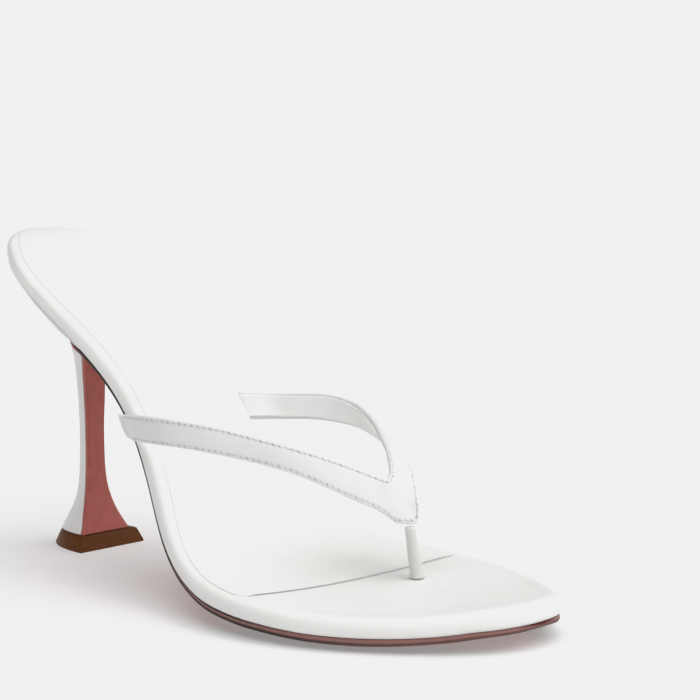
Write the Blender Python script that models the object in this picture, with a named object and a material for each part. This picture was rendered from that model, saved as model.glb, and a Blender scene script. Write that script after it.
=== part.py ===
"""Heeled thong sandal, right shoe.

Axes: +X toward the toe, +Y toward the wearer's left (the inner side of the foot), +Z up.
All tables are in millimetres, measured from the back of the footbed (x), the centre line
of the seat (y) and the floor (z).  The finished shoe is shifted so the middle of the bottom
of its bounding box is the origin.
"""
import math
from collections import namedtuple

import bmesh
import bpy
import numpy as np

MM = 0.001

# ---- driving dimensions, millimetres ----------------------------------------------------
GAP = 0.3                   # clearance between neighbouring pieces
FOOTBED_THICKNESS = 4.8
OUTSOLE_THICKNESS = 1.6     # at the ball, thinner at the waist
OUTSOLE_WAIST = 1.1
OUTSOLE_INSET = 1.3         # outsole edge behind the footbed edge
OUTSOLE_INSET_WAIST = 1.3   # the same on the outer side of the waist
FLANGE_INSET = 1.6          # heel flange edge behind the footbed edge
FLANGE_THICKNESS = 1.2
FLANGE_FRONT = 60.6         # x where the wedge of the heel runs out under the waist
OUTSOLE_SPLIT = 66.6        # x on the profile where the outsole leaves the footbed
STRAP_WALL = 1.8
STRAP_CROWN = 0.25
LIFT_HEIGHT = 4.6
RISE_POWER = 2.4
RISE_MIN_WIDTH = 18.0
FLAT_DEPTH = 0.42           # how far the tread is cut down to the floor plane

FOOTBED_STATIONS = 46
FOOTBED_ACROSS = 8
OUTSOLE_ACROSS = 12
HEEL_ACROSS = 6
HEEL_AROUND = 32
STRAP_STATIONS = 62
POST_SIDES = 14

# ---- tables -----------------------------------------------------------------------------
Edge = namedtuple("Edge", "x lateral medial")
OUTLINE_HEEL_X = 3.3
OUTLINE_HEEL_Y = 1.0
OUTLINE_TOE_X = 206.16
OUTLINE_TOE_Y = 3.4
OUTLINE = (
    Edge(x=6, lateral=-7.8, medial=8.7),
    Edge(x=14.5, lateral=-16.8, medial=15.3),
    Edge(x=27, lateral=-25.0, medial=20.4),
    Edge(x=42, lateral=-29.2, medial=21.2),
    Edge(x=58, lateral=-29.0, medial=17.8),
    Edge(x=72, lateral=-28.3, medial=13.6),
    Edge(x=86, lateral=-29.2, medial=10.0),
    Edge(x=98, lateral=-32.5, medial=9.8),
    Edge(x=110, lateral=-37.8, medial=14.5),
    Edge(x=122, lateral=-42.6, medial=23.5),
    Edge(x=136, lateral=-46.0, medial=32.0),
    Edge(x=151, lateral=-45.5, medial=35.0),
    Edge(x=166, lateral=-41.3, medial=34.8),
    Edge(x=180, lateral=-33.5, medial=30.7),
    Edge(x=192, lateral=-23.6, medial=23.6),
    Edge(x=201, lateral=-12.8, medial=16.2),
)

Level = namedtuple("Level", "x z")
PROFILE = (
    Level(x=0, z=94.2),
    Level(x=12, z=92.6),
    Level(x=24, z=88.8),
    Level(x=35, z=84.1),
    Level(x=46, z=78.7),
    Level(x=57, z=72.8),
    Level(x=67, z=66.6),
    Level(x=77, z=59.2),
    Level(x=86, z=50.8),
    Level(x=95, z=40.4),
    Level(x=104, z=29.2),
    Level(x=112, z=20.2),
    Level(x=121, z=13.6),
    Level(x=131, z=9.8),
    Level(x=142, z=7.9),
    Level(x=154, z=7.1),
    Level(x=166, z=6.8),
    Level(x=178, z=6.9),
    Level(x=190, z=7.9),
    Level(x=199, z=9.6),
    Level(x=206.5, z=11.8),
)

Rise = namedtuple("Rise", "x lateral medial")
RISES = (
    Rise(x=0, lateral=1.5, medial=1.5),
    Rise(x=30, lateral=1.4, medial=1.5),
    Rise(x=46, lateral=0.8, medial=1.6),
    Rise(x=57, lateral=0.0, medial=2.2),
    Rise(x=65, lateral=-0.3, medial=2.5),
    Rise(x=77, lateral=-0.3, medial=2.4),
    Rise(x=88, lateral=0.0, medial=2.0),
    Rise(x=97, lateral=0.3, medial=1.6),
    Rise(x=106, lateral=0.8, medial=1.6),
    Rise(x=114, lateral=1.4, medial=1.8),
    Rise(x=126, lateral=2.4, medial=2.4),
    Rise(x=140, lateral=2.8, medial=2.6),
    Rise(x=153, lateral=2.5, medial=2.7),
    Rise(x=165, lateral=2.0, medial=2.6),
    Rise(x=180, lateral=1.8, medial=2.4),
    Rise(x=192, lateral=1.5, medial=1.8),
    Rise(x=206.5, lateral=1.2, medial=1.2),
)

# padding: how far the middle of the top stands above the curve of the underside
Crown = namedtuple("Crown", "x up")
CROWN = (
    Crown(x=0, up=0.8),
    Crown(x=40, up=0.8),
    Crown(x=65, up=1.0),
    Crown(x=97, up=0.9),
    Crown(x=114, up=1.6),
    Crown(x=126, up=2.4),
    Crown(x=140, up=2.8),
    Crown(x=160, up=2.9),
    Crown(x=172, up=2.6),
    Crown(x=185, up=2.1),
    Crown(x=206.5, up=1.2),
)

# rolled rim of the footbed, from the padded top round to the underside
Rim = namedtuple("Rim", "inset drop")
RIM = (
    Rim(inset=5.2, drop=0.0),
    Rim(inset=3.4, drop=-0.15),
    Rim(inset=1.7, drop=0.05),
    Rim(inset=0.6, drop=0.75),
    Rim(inset=0.08, drop=1.8),
    Rim(inset=0.0, drop=2.8),
    Rim(inset=0.25, drop=3.9),
    Rim(inset=0.9, drop=4.55),
    Rim(inset=2.2, drop=4.8),
)

# outer face of the outsole where it turns down the front of the heel, and the heel behind it
# lean = how much of the footbed's cross curve is left; round = 0 flange plan, 1 D plan
# follow = 1 the ring runs along under the footbed, 0 the ring is level
Neck = namedtuple("Neck", "x z half mid lean back_x back_z round follow")
BREAST = (
    Neck(57.5, 64.2, 21.3, -5.8, 1.0, 7.0, 84.9, 0.15, 1.0),
    Neck(53.0, 65.9, 19.5, -5.2, 0.90, 12.5, 82.9, 0.40, 1.0),
    Neck(49.5, 66.9, 16.5, -4.6, 0.60, 17.5, 80.2, 0.70, 1.0),
    Neck(46.3, 67.0, 13.2, -3.9, 0.35, 22.0, 76.4, 0.90, 0.65),
    Neck(43.3, 66.0, 10.2, -3.3, 0.15, 24.8, 72.0, 1.0, 0.30),
    Neck(40.6, 63.9, 7.8, -2.8, 0.05, 26.4, 67.4, 1.0, 0.0),
    Neck(38.4, 60.8, 5.4, -2.9, 0.0, 27.6, 62.6, 1.0, 0.0),
    Neck(37.0, 57.0, 4.3, -2.5, 0.0, 28.4, 58.2, 1.0, 0.0),
    Neck(36.3, 52.0, 3.9, -2.1, 0.0, 29.0, 52.6, 1.0, 0.0),
    Neck(36.0, 45.0, 3.57, -1.8, 0.0, 29.3, 45.0, 1.0, 0.0),
    Neck(35.9, 38.0, 3.24, -1.8, 0.0, 29.5, 38.0, 1.0, 0.0),
    Neck(35.9, 30.0, 3.18, -1.8, 0.0, 29.5, 30.0, 1.0, 0.0),
    Neck(36.1, 24.0, 3.33, -1.9, 0.0, 29.5, 24.0, 1.0, 0.0),
    Neck(36.7, 18.5, 3.9, -2.15, 0.0, 29.4, 18.5, 1.0, 0.0),
    Neck(37.8, 13.2, 5.25, -2.35, 0.0, 28.3, 13.2, 1.0, 0.0),
    Neck(39.1, 8.8, 6.95, -2.35, 0.0, 25.8, 8.8, 1.0, 0.0),
    Neck(40.0, 5.9, 8.3, -2.15, 0.0, 24.0, 5.9, 1.0, 0.0),
    Neck(40.2, 4.9, 8.8, -2.1, 0.0, 23.4, 4.9, 1.0, 0.0),
)
BREAST_THICKNESS_TOP = 1.1
BREAST_THICKNESS_STEM = 1.0

Lift = namedtuple("Lift", "z front back half")
LIFT = (
    Lift(z=LIFT_HEIGHT, front=40.9, back=22.6, half=10.2),
    Lift(z=0.3, front=41.95, back=20.6, half=12.2),
    Lift(z=0.0, front=41.75, back=20.8, half=12.0),
)
LIFT_MID = -1.1
D_POWER = 2.3

# thong straps: upper and lower edge of the outer face, back end to the join
Strap = namedtuple("Strap", "tx ty tz bx by bz")
LATERAL_STRAP = (
    Strap(87.5, -33.6, 49.5, 92.0, -34.2, 42.7),
    Strap(94.5, -38.2, 50.8, 98.0, -38.3, 43.8),
    Strap(102, -41.6, 51.8, 105, -40.8, 44.5),
    Strap(110, -42.3, 52.4, 112.5, -41.0, 44.8),
    Strap(118, -39.8, 52.1, 120, -38.5, 44.4),
    Strap(126, -34.5, 50.8, 128, -33.6, 43.1),
    Strap(134, -27.8, 48.4, 136, -27.2, 41.0),
    Strap(142, -19.7, 45.2, 144.5, -19.5, 37.5),
    Strap(149, -10.5, 41.1, 153, -9.5, 31.5),
)
JOIN = (
    Strap(153.4, -3.1, 37.5, 157.4, -2.4, 27.3),
    Strap(154.8, -1.4, 36.6, 159.2, 0.2, 24.9),
    Strap(155.2, -0.1, 36.3, 160.4, 2.5, 24.6),
    Strap(154.9, 1.2, 36.7, 161.3, 5.0, 24.7),
    Strap(153.9, 2.7, 37.5, 161.2, 5.8, 27.6),
    Strap(152.1, 4.6, 38.7, 160.2, 6.4, 30.8),
)
MEDIAL_STRAP = (
    Strap(148.9, 6.9, 40.8, 157.0, 8.7, 35.4),
    Strap(146.2, 8.8, 42.8, 153.4, 10.8, 38.0),
    Strap(143.5, 10.5, 44.6, 149.2, 13.0, 39.4),
    Strap(138.7, 13.4, 47.3, 143.6, 15.6, 40.8),
    Strap(133.9, 16.1, 49.0, 138.3, 17.5, 41.7),
    Strap(128.8, 18.4, 50.3, 133.3, 18.9, 42.6),
    Strap(123.2, 20.2, 51.1, 127.9, 20.1, 43.5),
    Strap(117.2, 21.1, 51.6, 122.0, 20.6, 44.1),
    Strap(110.0, 20.7, 51.7, 114.9, 20.4, 44.3),
    Strap(100.2, 18.7, 50.9, 105.4, 18.5, 44.1),
    Strap(91.2, 15.6, 50.3, 96.7, 15.8, 43.3),
)

# where each strap end lies on the side of the footbed: profile station of its two edges
Anchor = namedtuple("Anchor", "top_x low_x drop low_drop out wall")
LATERAL_ANCHOR = (
    Anchor(top_x=84.4, low_x=90.0, drop=5.7, low_drop=5.7, out=0.3, wall=0.8),
    Anchor(top_x=84.9, low_x=90.5, drop=4.9, low_drop=4.9, out=1.35, wall=1.3),
    Anchor(top_x=85.6, low_x=91.2, drop=3.6, low_drop=3.6, out=2.05, wall=1.7),
    Anchor(top_x=86.5, low_x=92.0, drop=2.2, low_drop=2.2, out=2.2, wall=1.8),
)
MEDIAL_ANCHOR = (
    Anchor(top_x=86.9, low_x=92.6, drop=2.2, low_drop=3.4, out=2.2, wall=1.8),
    Anchor(top_x=86.0, low_x=92.2, drop=3.6, low_drop=4.6, out=2.05, wall=1.7),
    Anchor(top_x=85.3, low_x=91.8, drop=4.9, low_drop=5.3, out=1.35, wall=1.3),
    Anchor(top_x=84.8, low_x=91.4, drop=5.7, low_drop=5.8, out=0.3, wall=0.8),
)

Post = namedtuple("Post", "x y z diameter")
POST = (
    Post(161.7, 4.5, 10.15, 4.0),
    Post(161.68, 4.4, 11.2, 3.7),
    Post(161.6, 4.0, 13.5, 3.5),
    Post(161.45, 3.4, 17.0, 3.2),
    Post(161.25, 2.8, 21.0, 3.0),
    Post(161.05, 2.4, 23.8, 2.9),
)


# ---- curves -----------------------------------------------------------------------------
class Spline:
    """Natural cubic spline through (t, v); v may hold several columns."""

    def __init__(self, t, v):
        self.t = np.array(t, float)
        self.v = np.array(v, float)
        n = len(self.t)
        h = np.diff(self.t)
        a = np.eye(n)
        r = np.zeros(self.v.shape)
        for i in range(1, n - 1):
            a[i, i - 1] = h[i - 1]
            a[i, i] = 2 * (h[i - 1] + h[i])
            a[i, i + 1] = h[i]
            left = (self.v[i] - self.v[i - 1]) / h[i - 1]
            right = (self.v[i + 1] - self.v[i]) / h[i]
            r[i] = 6 * (right - left)
        self.m = np.linalg.solve(a, r)

    def at(self, x, order=0):
        x = np.atleast_1d(np.array(x, float))
        i = np.clip(np.searchsorted(self.t, x) - 1, 0, len(self.t) - 2)
        h = self.t[i + 1] - self.t[i]
        a = (self.t[i + 1] - x) / h
        b = (x - self.t[i]) / h
        if self.v.ndim > 1:
            h, a, b = h[:, None], a[:, None], b[:, None]
        if order == 0:
            bend = ((a**3 - a) * self.m[i] + (b**3 - b) * self.m[i + 1]) * h * h / 6
            return a * self.v[i] + b * self.v[i + 1] + bend
        turn = ((3 * b * b - 1) * self.m[i + 1] - (3 * a * a - 1) * self.m[i]) * h / 6
        return (self.v[i + 1] - self.v[i]) / h + turn


def chord(points):
    steps = np.linalg.norm(np.diff(points, axis=0), axis=1)
    return np.concatenate([[0.0], np.cumsum(steps)])


def smooth(t):
    t = np.clip(t, 0.0, 1.0)
    return t * t * (3 - 2 * t)


def closed_outline(samples=1800):
    """Plan outline of the footbed, heel back -> lateral -> toe -> medial."""
    lateral = [(e.x, e.lateral) for e in OUTLINE]
    medial = [(e.x, e.medial) for e in reversed(OUTLINE)]
    loop = [(OUTLINE_HEEL_X, OUTLINE_HEEL_Y)] + lateral + [(OUTLINE_TOE_X, OUTLINE_TOE_Y)] + medial
    loop = np.array(loop, float)
    three = np.vstack([loop, loop, loop, loop[:1]])
    t = chord(three)
    start = t[len(loop)]
    stop = t[2 * len(loop)]
    curve = Spline(t, three)
    return curve.at(np.linspace(start, stop, samples, endpoint=False))


LOOP = closed_outline()
step_vec = np.roll(LOOP, -1, axis=0) - np.roll(LOOP, 1, axis=0)
step_vec /= np.linalg.norm(step_vec, axis=1)[:, None]
INWARD = np.stack([-step_vec[:, 1], step_vec[:, 0]], 1)
I_HEEL = int(np.argmin(LOOP[:, 0]))
LOOP = np.roll(LOOP, -I_HEEL, axis=0)
INWARD = np.roll(INWARD, -I_HEEL, axis=0)
I_TOE = int(np.argmax(LOOP[:, 0]))
SIDE_POINTS = {
    "lateral": (LOOP[: I_TOE + 1], INWARD[: I_TOE + 1]),
    "medial": (np.vstack([LOOP[I_TOE:], LOOP[:1]])[::-1],
               np.vstack([INWARD[I_TOE:], INWARD[:1]])[::-1]),
}
PROFILE_CURVE = Spline([p.x for p in PROFILE], [p.z for p in PROFILE])
RISE_X = [r.x for r in RISES]
RISE_LATERAL = [r.lateral for r in RISES]
RISE_MEDIAL = [r.medial for r in RISES]


def edge_point(side, x, inset):
    """Outline point of one side at station x, moved inward by inset."""
    pts, inward = SIDE_POINTS[side]
    px = np.interp(x, pts[:, 0], pts[:, 0])
    py = np.interp(x, pts[:, 0], pts[:, 1])
    nx = np.interp(x, pts[:, 0], inward[:, 0])
    ny = np.interp(x, pts[:, 0], inward[:, 1])
    size = math.hypot(nx, ny)
    return np.array([px + inset * nx / size, py + inset * ny / size])


def edge_y(side, x):
    pts = SIDE_POINTS[side][0]
    return float(np.interp(x, pts[:, 0], pts[:, 1]))


def cross_rise(x, y):
    lat, med = edge_y("lateral", x), edge_y("medial", x)
    centre = (lat + med) / 2
    half = max((med - lat) / 2, RISE_MIN_WIDTH)
    table = RISE_MEDIAL if y > centre else RISE_LATERAL
    return float(np.interp(x, RISE_X, table)) * (abs(y - centre) / half) ** RISE_POWER


def cushion(x, y):
    """Extra height of the padded top over the curve of the underside."""
    x = min(max(x, 0.0), OUTLINE_TOE_X)
    lat, med = edge_y("lateral", x), edge_y("medial", x)
    half = max((med - lat) / 2, 1.0)
    u = min(abs(y - (lat + med) / 2) / half, 1.0)
    up = float(np.interp(x, [c.x for c in CROWN], [c.up for c in CROWN]))
    return up * min(half / RISE_MIN_WIDTH, 1.0) * (1 - u**RISE_POWER)


def surface(x, y, drop):
    """Point at a depth under the top line of the footbed, along the normal of its profile."""
    x_in = min(max(x, 0.0), OUTLINE_TOE_X)
    z = float(PROFILE_CURVE.at(x_in)[0]) + cross_rise(x_in, y)
    slope = float(PROFILE_CURVE.at(x_in, 1)[0])
    size = math.sqrt(1 + slope * slope)
    return np.array([x + slope * drop / size, y, z - drop / size])


def under(x, y, drop):
    """Height of the level at that depth, straight above or below (x, y)."""
    guess = x
    for _ in range(12):
        point = surface(guess, y, drop)
        guess += x - point[0]
    return surface(guess, y, drop)[2]


# ---- mesh helpers -----------------------------------------------------------------------
class Shell:
    """Collects vertices and faces of one closed body."""

    def __init__(self):
        self.verts = []
        self.faces = []

    def add(self, point):
        self.verts.append([float(c) for c in point])
        return len(self.verts) - 1

    def ring(self, points):
        return [self.add(p) for p in points]

    def face(self, *ids):
        clean = []
        for i in ids:
            if i not in clean:
                clean.append(i)
        if len(clean) > 2:
            self.faces.append(clean)

    def bridge(self, low, high, closed=True):
        n = len(low)
        last = n if closed else n - 1
        for i in range(last):
            j = (i + 1) % n
            self.face(low[i], low[j], high[j])
            self.face(low[i], high[j], high[i])

    def fan(self, ring, centre):
        n = len(ring)
        for i in range(n):
            self.face(ring[i], ring[(i + 1) % n], centre)

    def make(self, name, colour, roughness, specular=0.5):
        mesh = bpy.data.meshes.new(name)
        verts = [(v[0] * MM, v[1] * MM, v[2] * MM) for v in self.verts]
        mesh.from_pydata(verts, [], self.faces)
        work = bmesh.new()
        work.from_mesh(mesh)
        bmesh.ops.recalc_face_normals(work, faces=work.faces[:])
        if work.calc_volume(signed=True) < 0:
            bmesh.ops.reverse_faces(work, faces=work.faces[:])
        work.to_mesh(mesh)
        work.free()
        mesh.update()
        material = bpy.data.materials.new(name + "_material")
        material.use_nodes = True
        shader = material.node_tree.nodes["Principled BSDF"]
        shader.inputs["Base Color"].default_value = (*colour, 1.0)
        shader.inputs["Roughness"].default_value = roughness
        shader.inputs["Specular IOR Level"].default_value = specular
        mesh.materials.append(material)
        body = bpy.data.objects.new(name, mesh)
        bpy.context.scene.collection.objects.link(body)
        return body


def stations(count, start, stop):
    """Stations along the length, closer together toward both ends."""
    k = np.arange(count + 1) / count
    even = start + (stop - start) * k
    eased = start + (stop - start) * (1 - np.cos(math.pi * k)) / 2
    return 0.45 * even + 0.55 * eased


# ---- footbed ----------------------------------------------------------------------------
def padded(x, y, drop):
    """Point of the rim: the padding fades out from the top to the underside."""
    point = surface(x, y, drop)
    point[2] += cushion(x, y) * max(0.0, 1 - max(drop, 0.0) / FOOTBED_THICKNESS)
    return point


def footbed():
    shell = Shell()
    toe_x = float(LOOP[I_TOE][0])
    heel_x = float(LOOP[0][0])
    xs = stations(FOOTBED_STATIONS, heel_x, toe_x)
    last = FOOTBED_STATIONS

    def ring_points(rim):
        points = []
        for j in range(last + 1):
            px, py = edge_point("lateral", xs[j], rim.inset)
            points.append(padded(px, py, rim.drop))
        for j in range(last - 1, 0, -1):
            px, py = edge_point("medial", xs[j], rim.inset)
            points.append(padded(px, py, rim.drop))
        return points

    def cap(ring, drop):
        rows = [[ring[0]]]
        for j in range(1, last):
            a, b = ring[j], ring[2 * last - j]
            row = [a]
            for i in range(1, FOOTBED_ACROSS):
                t = i / FOOTBED_ACROSS
                pa, pb = np.array(shell.verts[a]), np.array(shell.verts[b])
                flat = pa + (pb - pa) * t
                z = under(flat[0], flat[1], drop)
                if drop == 0.0:
                    z += cushion(flat[0], flat[1])
                row.append(shell.add((flat[0], flat[1], z)))
            row.append(b)
            rows.append(row)
        rows.append([ring[last]])
        for low, high in zip(rows[:-1], rows[1:]):
            if len(low) == 1 or len(high) == 1:
                tip = low[0] if len(low) == 1 else high[0]
                row = high if len(low) == 1 else low
                for i in range(len(row) - 1):
                    if len(low) == 1:
                        shell.face(tip, row[i + 1], row[i])
                    else:
                        shell.face(row[i], row[i + 1], tip)
            else:
                for i in range(len(low) - 1):
                    shell.face(low[i], low[i + 1], high[i + 1])
                    shell.face(low[i], high[i + 1], high[i])

    rings = [shell.ring(ring_points(rim)) for rim in RIM]
    for low, high in zip(rings[:-1], rings[1:]):
        shell.bridge(low, high)
    cap(rings[0], RIM[0].drop)
    cap(rings[-1], RIM[-1].drop)
    return shell.make("footbed", (0.86, 0.86, 0.84), 0.45)


# ---- outsole ----------------------------------------------------------------------------
def breast_thickness(z):
    t = smooth((z - 40.0) / 18.0)
    return BREAST_THICKNESS_STEM + (BREAST_THICKNESS_TOP - BREAST_THICKNESS_STEM) * t


def breast_curve():
    """Outer line (x, z) and the unit normal toward the heel for every row of BREAST."""
    first = surface(OUTSOLE_SPLIT, centre_y(OUTSOLE_SPLIT), 5.1 + OUTSOLE_WAIST)
    line = [(first[0], first[2])] + [(row.x, row.z) for row in BREAST]
    line = np.array(line)
    normals = []
    for i in range(1, len(line)):
        a = line[i - 1]
        b = line[min(i + 1, len(line) - 1)]
        t = (b - a) / np.linalg.norm(b - a)
        normals.append((t[1], -t[0]))
    normals[-1] = (-1.0, 0.0)
    return line[1:], np.array(normals)


def outsole_thickness(x):
    t = smooth((x - 95.0) / 45.0) * (1 - 0.9 * smooth((x - 178.0) / 24.0))
    return OUTSOLE_WAIST + (OUTSOLE_THICKNESS - OUTSOLE_WAIST) * t


def outsole_inset(side, x):
    if side == "medial":
        return OUTSOLE_INSET
    t = smooth((x - 84.0) / 12.0) * smooth((134.0 - x) / 16.0)
    return OUTSOLE_INSET + (OUTSOLE_INSET_WAIST - OUTSOLE_INSET) * t


def centre_y(x):
    return (edge_y("lateral", x) + edge_y("medial", x)) / 2


def breast_row(index, across, depth, half_extra=0.0):
    """Points across one row of the breast at a depth behind its outer face."""
    line, normals = breast_curve()
    row = BREAST[index]
    points = []
    for i in range(across + 1):
        y = row.mid + (row.half + half_extra) * (2 * i / across - 1)
        z = row.z + row.lean * cross_rise(row.x, y) + depth * normals[index][1]
        x = row.x + depth * normals[index][0]
        points.append(np.array([x, y, z]))
    return points


def tread(point, y):
    """Cuts the ball of the outsole down to the floor plane."""
    x = point[0]
    along = smooth((x - 138) / 14) * smooth((200 - x) / 14)
    aside = 1 - smooth((abs(y - centre_y(min(x, OUTLINE_TOE_X))) - 12) / 14)
    z = point[2] - FLAT_DEPTH * along * aside
    return np.array([x, y, max(0.0, z)])


def outsole():
    shell = Shell()
    toe_x = float(LOOP[I_TOE][0]) - OUTSOLE_INSET
    xs = stations(34, OUTSOLE_SPLIT, toe_x)
    top = 5.1
    loops = []
    for i in range(len(BREAST) - 1, -1, -1):
        depth = breast_thickness(BREAST[i].z)
        outer = breast_row(i, OUTSOLE_ACROSS, 0.0)
        inner = breast_row(i, OUTSOLE_ACROSS, depth)
        loops.append((outer, inner))
    for x in xs[:-1]:
        a = edge_point("lateral", x, outsole_inset("lateral", x))
        b = edge_point("medial", x, outsole_inset("medial", x))
        low = top + outsole_thickness(x)
        outer, inner = [], []
        for i in range(OUTSOLE_ACROSS + 1):
            t = i / OUTSOLE_ACROSS
            px, py = a + (b - a) * t
            inner.append(surface(px, py, top))
            outer.append(tread(surface(px, py, low), py))
        loops.append((outer, inner))
    rings = [shell.ring(outer + inner[::-1]) for outer, inner in loops]
    for a, b in zip(rings[:-1], rings[1:]):
        shell.bridge(a, b)
    n = OUTSOLE_ACROSS + 1
    # lower end on the heel: a flat strip
    first = rings[0]
    for i in range(n - 1):
        shell.face(first[i], first[i + 1], first[2 * n - 2 - i])
        shell.face(first[i], first[2 * n - 2 - i], first[2 * n - 1 - i])
    # toe: both faces run out to one short upright edge
    tip_y = OUTLINE_TOE_Y
    tip_top = shell.add(surface(toe_x, tip_y, top))
    tip_low = shell.add(tread(surface(toe_x, tip_y, top + outsole_thickness(toe_x)), tip_y))
    end = rings[-1]
    for i in range(n - 1):
        shell.face(end[i], tip_low, end[i + 1])
        shell.face(end[n + i], tip_top, end[n + i + 1])
    shell.face(end[n - 1], tip_low, tip_top)
    shell.face(end[n - 1], tip_top, end[n])
    shell.face(end[2 * n - 1], tip_top, tip_low)
    shell.face(end[2 * n - 1], tip_low, end[0])
    return shell.make("outsole", (0.45, 0.16, 0.10), 0.55)


# ---- heel -------------------------------------------------------------------------------
def resample(points, count):
    points = np.array(points)
    t = chord(points)
    want = np.linspace(0, t[-1], count + 1)
    return np.stack([np.interp(want, t, points[:, k]) for k in range(points.shape[1])], 1)


def flange_plan(front):
    """Footbed outline behind x = front, medial corner round the back to the lateral one."""
    xs = stations(60, OUTLINE_HEEL_X + 0.4, front)
    medial = [edge_point("medial", x, FLANGE_INSET) for x in xs[::-1]]
    lateral = [edge_point("lateral", x, FLANGE_INSET) for x in xs]
    points = [p for p in medial + lateral]
    return resample(points, HEEL_AROUND)


def d_plan(front, back, half, mid):
    """Flat front, rounded back, medial corner round the back to the lateral corner."""
    fine = []
    for i in range(121):
        a = math.pi * i / 120
        c, s = math.cos(a), math.sin(a)
        y = mid + half * math.copysign(abs(c) ** (2 / D_POWER), c)
        fine.append((front - (front - back) * s ** (2 / D_POWER), y))
    return resample(fine, HEEL_AROUND)


def heel_ring(index, front_gap):
    """One closed ring of the heel: straight front, then the sides and back."""
    row = BREAST[index]
    depth = breast_thickness(row.z) + front_gap
    front = breast_row(index, HEEL_ACROSS, depth)
    front_x = front[0][0]
    back = row.back_x
    if row.round < 1.0:
        back = (row.back_x - (1 - row.round) * FLANGE_INSET) / row.round
    shape = d_plan(front_x, back, row.half, row.mid)
    if row.round < 1.0:
        shape = (1 - row.round) * flange_plan(front_x) + row.round * shape
    f = np.linspace(0, 1, HEEL_AROUND + 1)
    ends = ((0, front[-1][1], f), (-1, front[0][1], 1 - f))
    for end, y_target, fraction in ends:
        shape[:, 1] += (y_target - shape[end, 1]) * (1 - smooth(fraction / 0.3))
    shape[0] = front[-1][:2]
    shape[-1] = front[0][:2]
    back_point = shape[HEEL_AROUND // 2]
    front_mid_z = front[HEEL_ACROSS // 2][2]
    points = []
    for i in range(1, HEEL_AROUND):
        x, y = shape[i]
        along = (front_x - x) / (front_x - back_point[0])
        level_z = front_mid_z + (row.back_z - front_mid_z) * along
        corner = front[-1] if i < HEEL_AROUND / 2 else front[0]
        drop_front = under(corner[0], corner[1], 5.1) - corner[2]
        drop_back = under(back_point[0], back_point[1], 5.1) - row.back_z
        t = smooth(along)
        follow_z = under(x, y, 5.1) - (drop_front * (1 - t) + drop_back * t)
        points.append((x, y, row.follow * follow_z + (1 - row.follow) * level_z))
    return [tuple(p) for p in front] + points


def heel():
    shell = Shell()
    plan = flange_plan(FLANGE_FRONT)
    front = [plan[-1] + (plan[0] - plan[-1]) * i / HEEL_ACROSS for i in range(HEEL_ACROSS + 1)]
    loop = front + [plan[i] for i in range(1, HEEL_AROUND)]

    def flange_drop(x):
        return 0.25 + (FLANGE_THICKNESS - 0.25) * smooth((FLANGE_FRONT - x) / 9.0)

    top = [(p[0], p[1], under(p[0], p[1], 5.1)) for p in loop]
    rim = [(p[0], p[1], under(p[0], p[1], 5.1) - flange_drop(p[0])) for p in loop]
    rings = [shell.ring(top), shell.ring(rim)]
    for i in range(len(BREAST)):
        rings.append(shell.ring(heel_ring(i, GAP)))
    for a, b in zip(rings[:-1], rings[1:]):
        shell.bridge(a, b)
    close_heel(shell, rings[0], True)
    close_heel(shell, rings[-1], False)
    return shell.make("heel", (0.86, 0.86, 0.84), 0.4)


def close_heel(shell, ring, curved):
    """Fills a ring with strips that run from side to side."""
    front = ring[: HEEL_ACROSS + 1]
    sides = [front[-1]] + ring[HEEL_ACROSS + 1:] + [front[0]]
    rows = [front[::-1]]
    for j in range(1, HEEL_AROUND // 2):
        a, b = sides[j], sides[HEEL_AROUND - j]
        row = [a]
        for i in range(1, HEEL_ACROSS):
            pa, pb = np.array(shell.verts[a]), np.array(shell.verts[b])
            p = pa + (pb - pa) * i / HEEL_ACROSS
            if curved:
                p[2] = under(p[0], p[1], 5.1)
            row.append(shell.add(p))
        row.append(b)
        rows.append(row)
    tip = sides[HEEL_AROUND // 2]
    faces = []
    for low, high in zip(rows[:-1], rows[1:]):
        for i in range(HEEL_ACROSS):
            faces.append([low[i], low[i + 1], high[i + 1]])
            faces.append([low[i], high[i + 1], high[i]])
    for i in range(HEEL_ACROSS):
        faces.append([rows[-1][i], rows[-1][i + 1], tip])
    shell.faces += faces if not curved else [f[::-1] for f in faces]


# ---- top lift ---------------------------------------------------------------------------
def top_lift():
    shell = Shell()
    rings = []
    for row in LIFT:
        plan = d_plan(row.front, row.back, row.half, LIFT_MID)
        front = [plan[-1] + (plan[0] - plan[-1]) * i / HEEL_ACROSS
                 for i in range(HEEL_ACROSS + 1)]
        loop = front + [plan[i] for i in range(1, HEEL_AROUND)]
        rings.append(shell.ring([(p[0], p[1], row.z) for p in loop]))
    for a, b in zip(rings[:-1], rings[1:]):
        shell.bridge(a, b)
    for ring, up in ((rings[0], True), (rings[-1], False)):
        faces = Shell()
        faces.verts = shell.verts
        close_heel(faces, ring, False)
        shell.faces += faces.faces if not up else [f[::-1] for f in faces.faces]
    return shell.make("top_lift", (0.10, 0.045, 0.02), 0.4)


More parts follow.
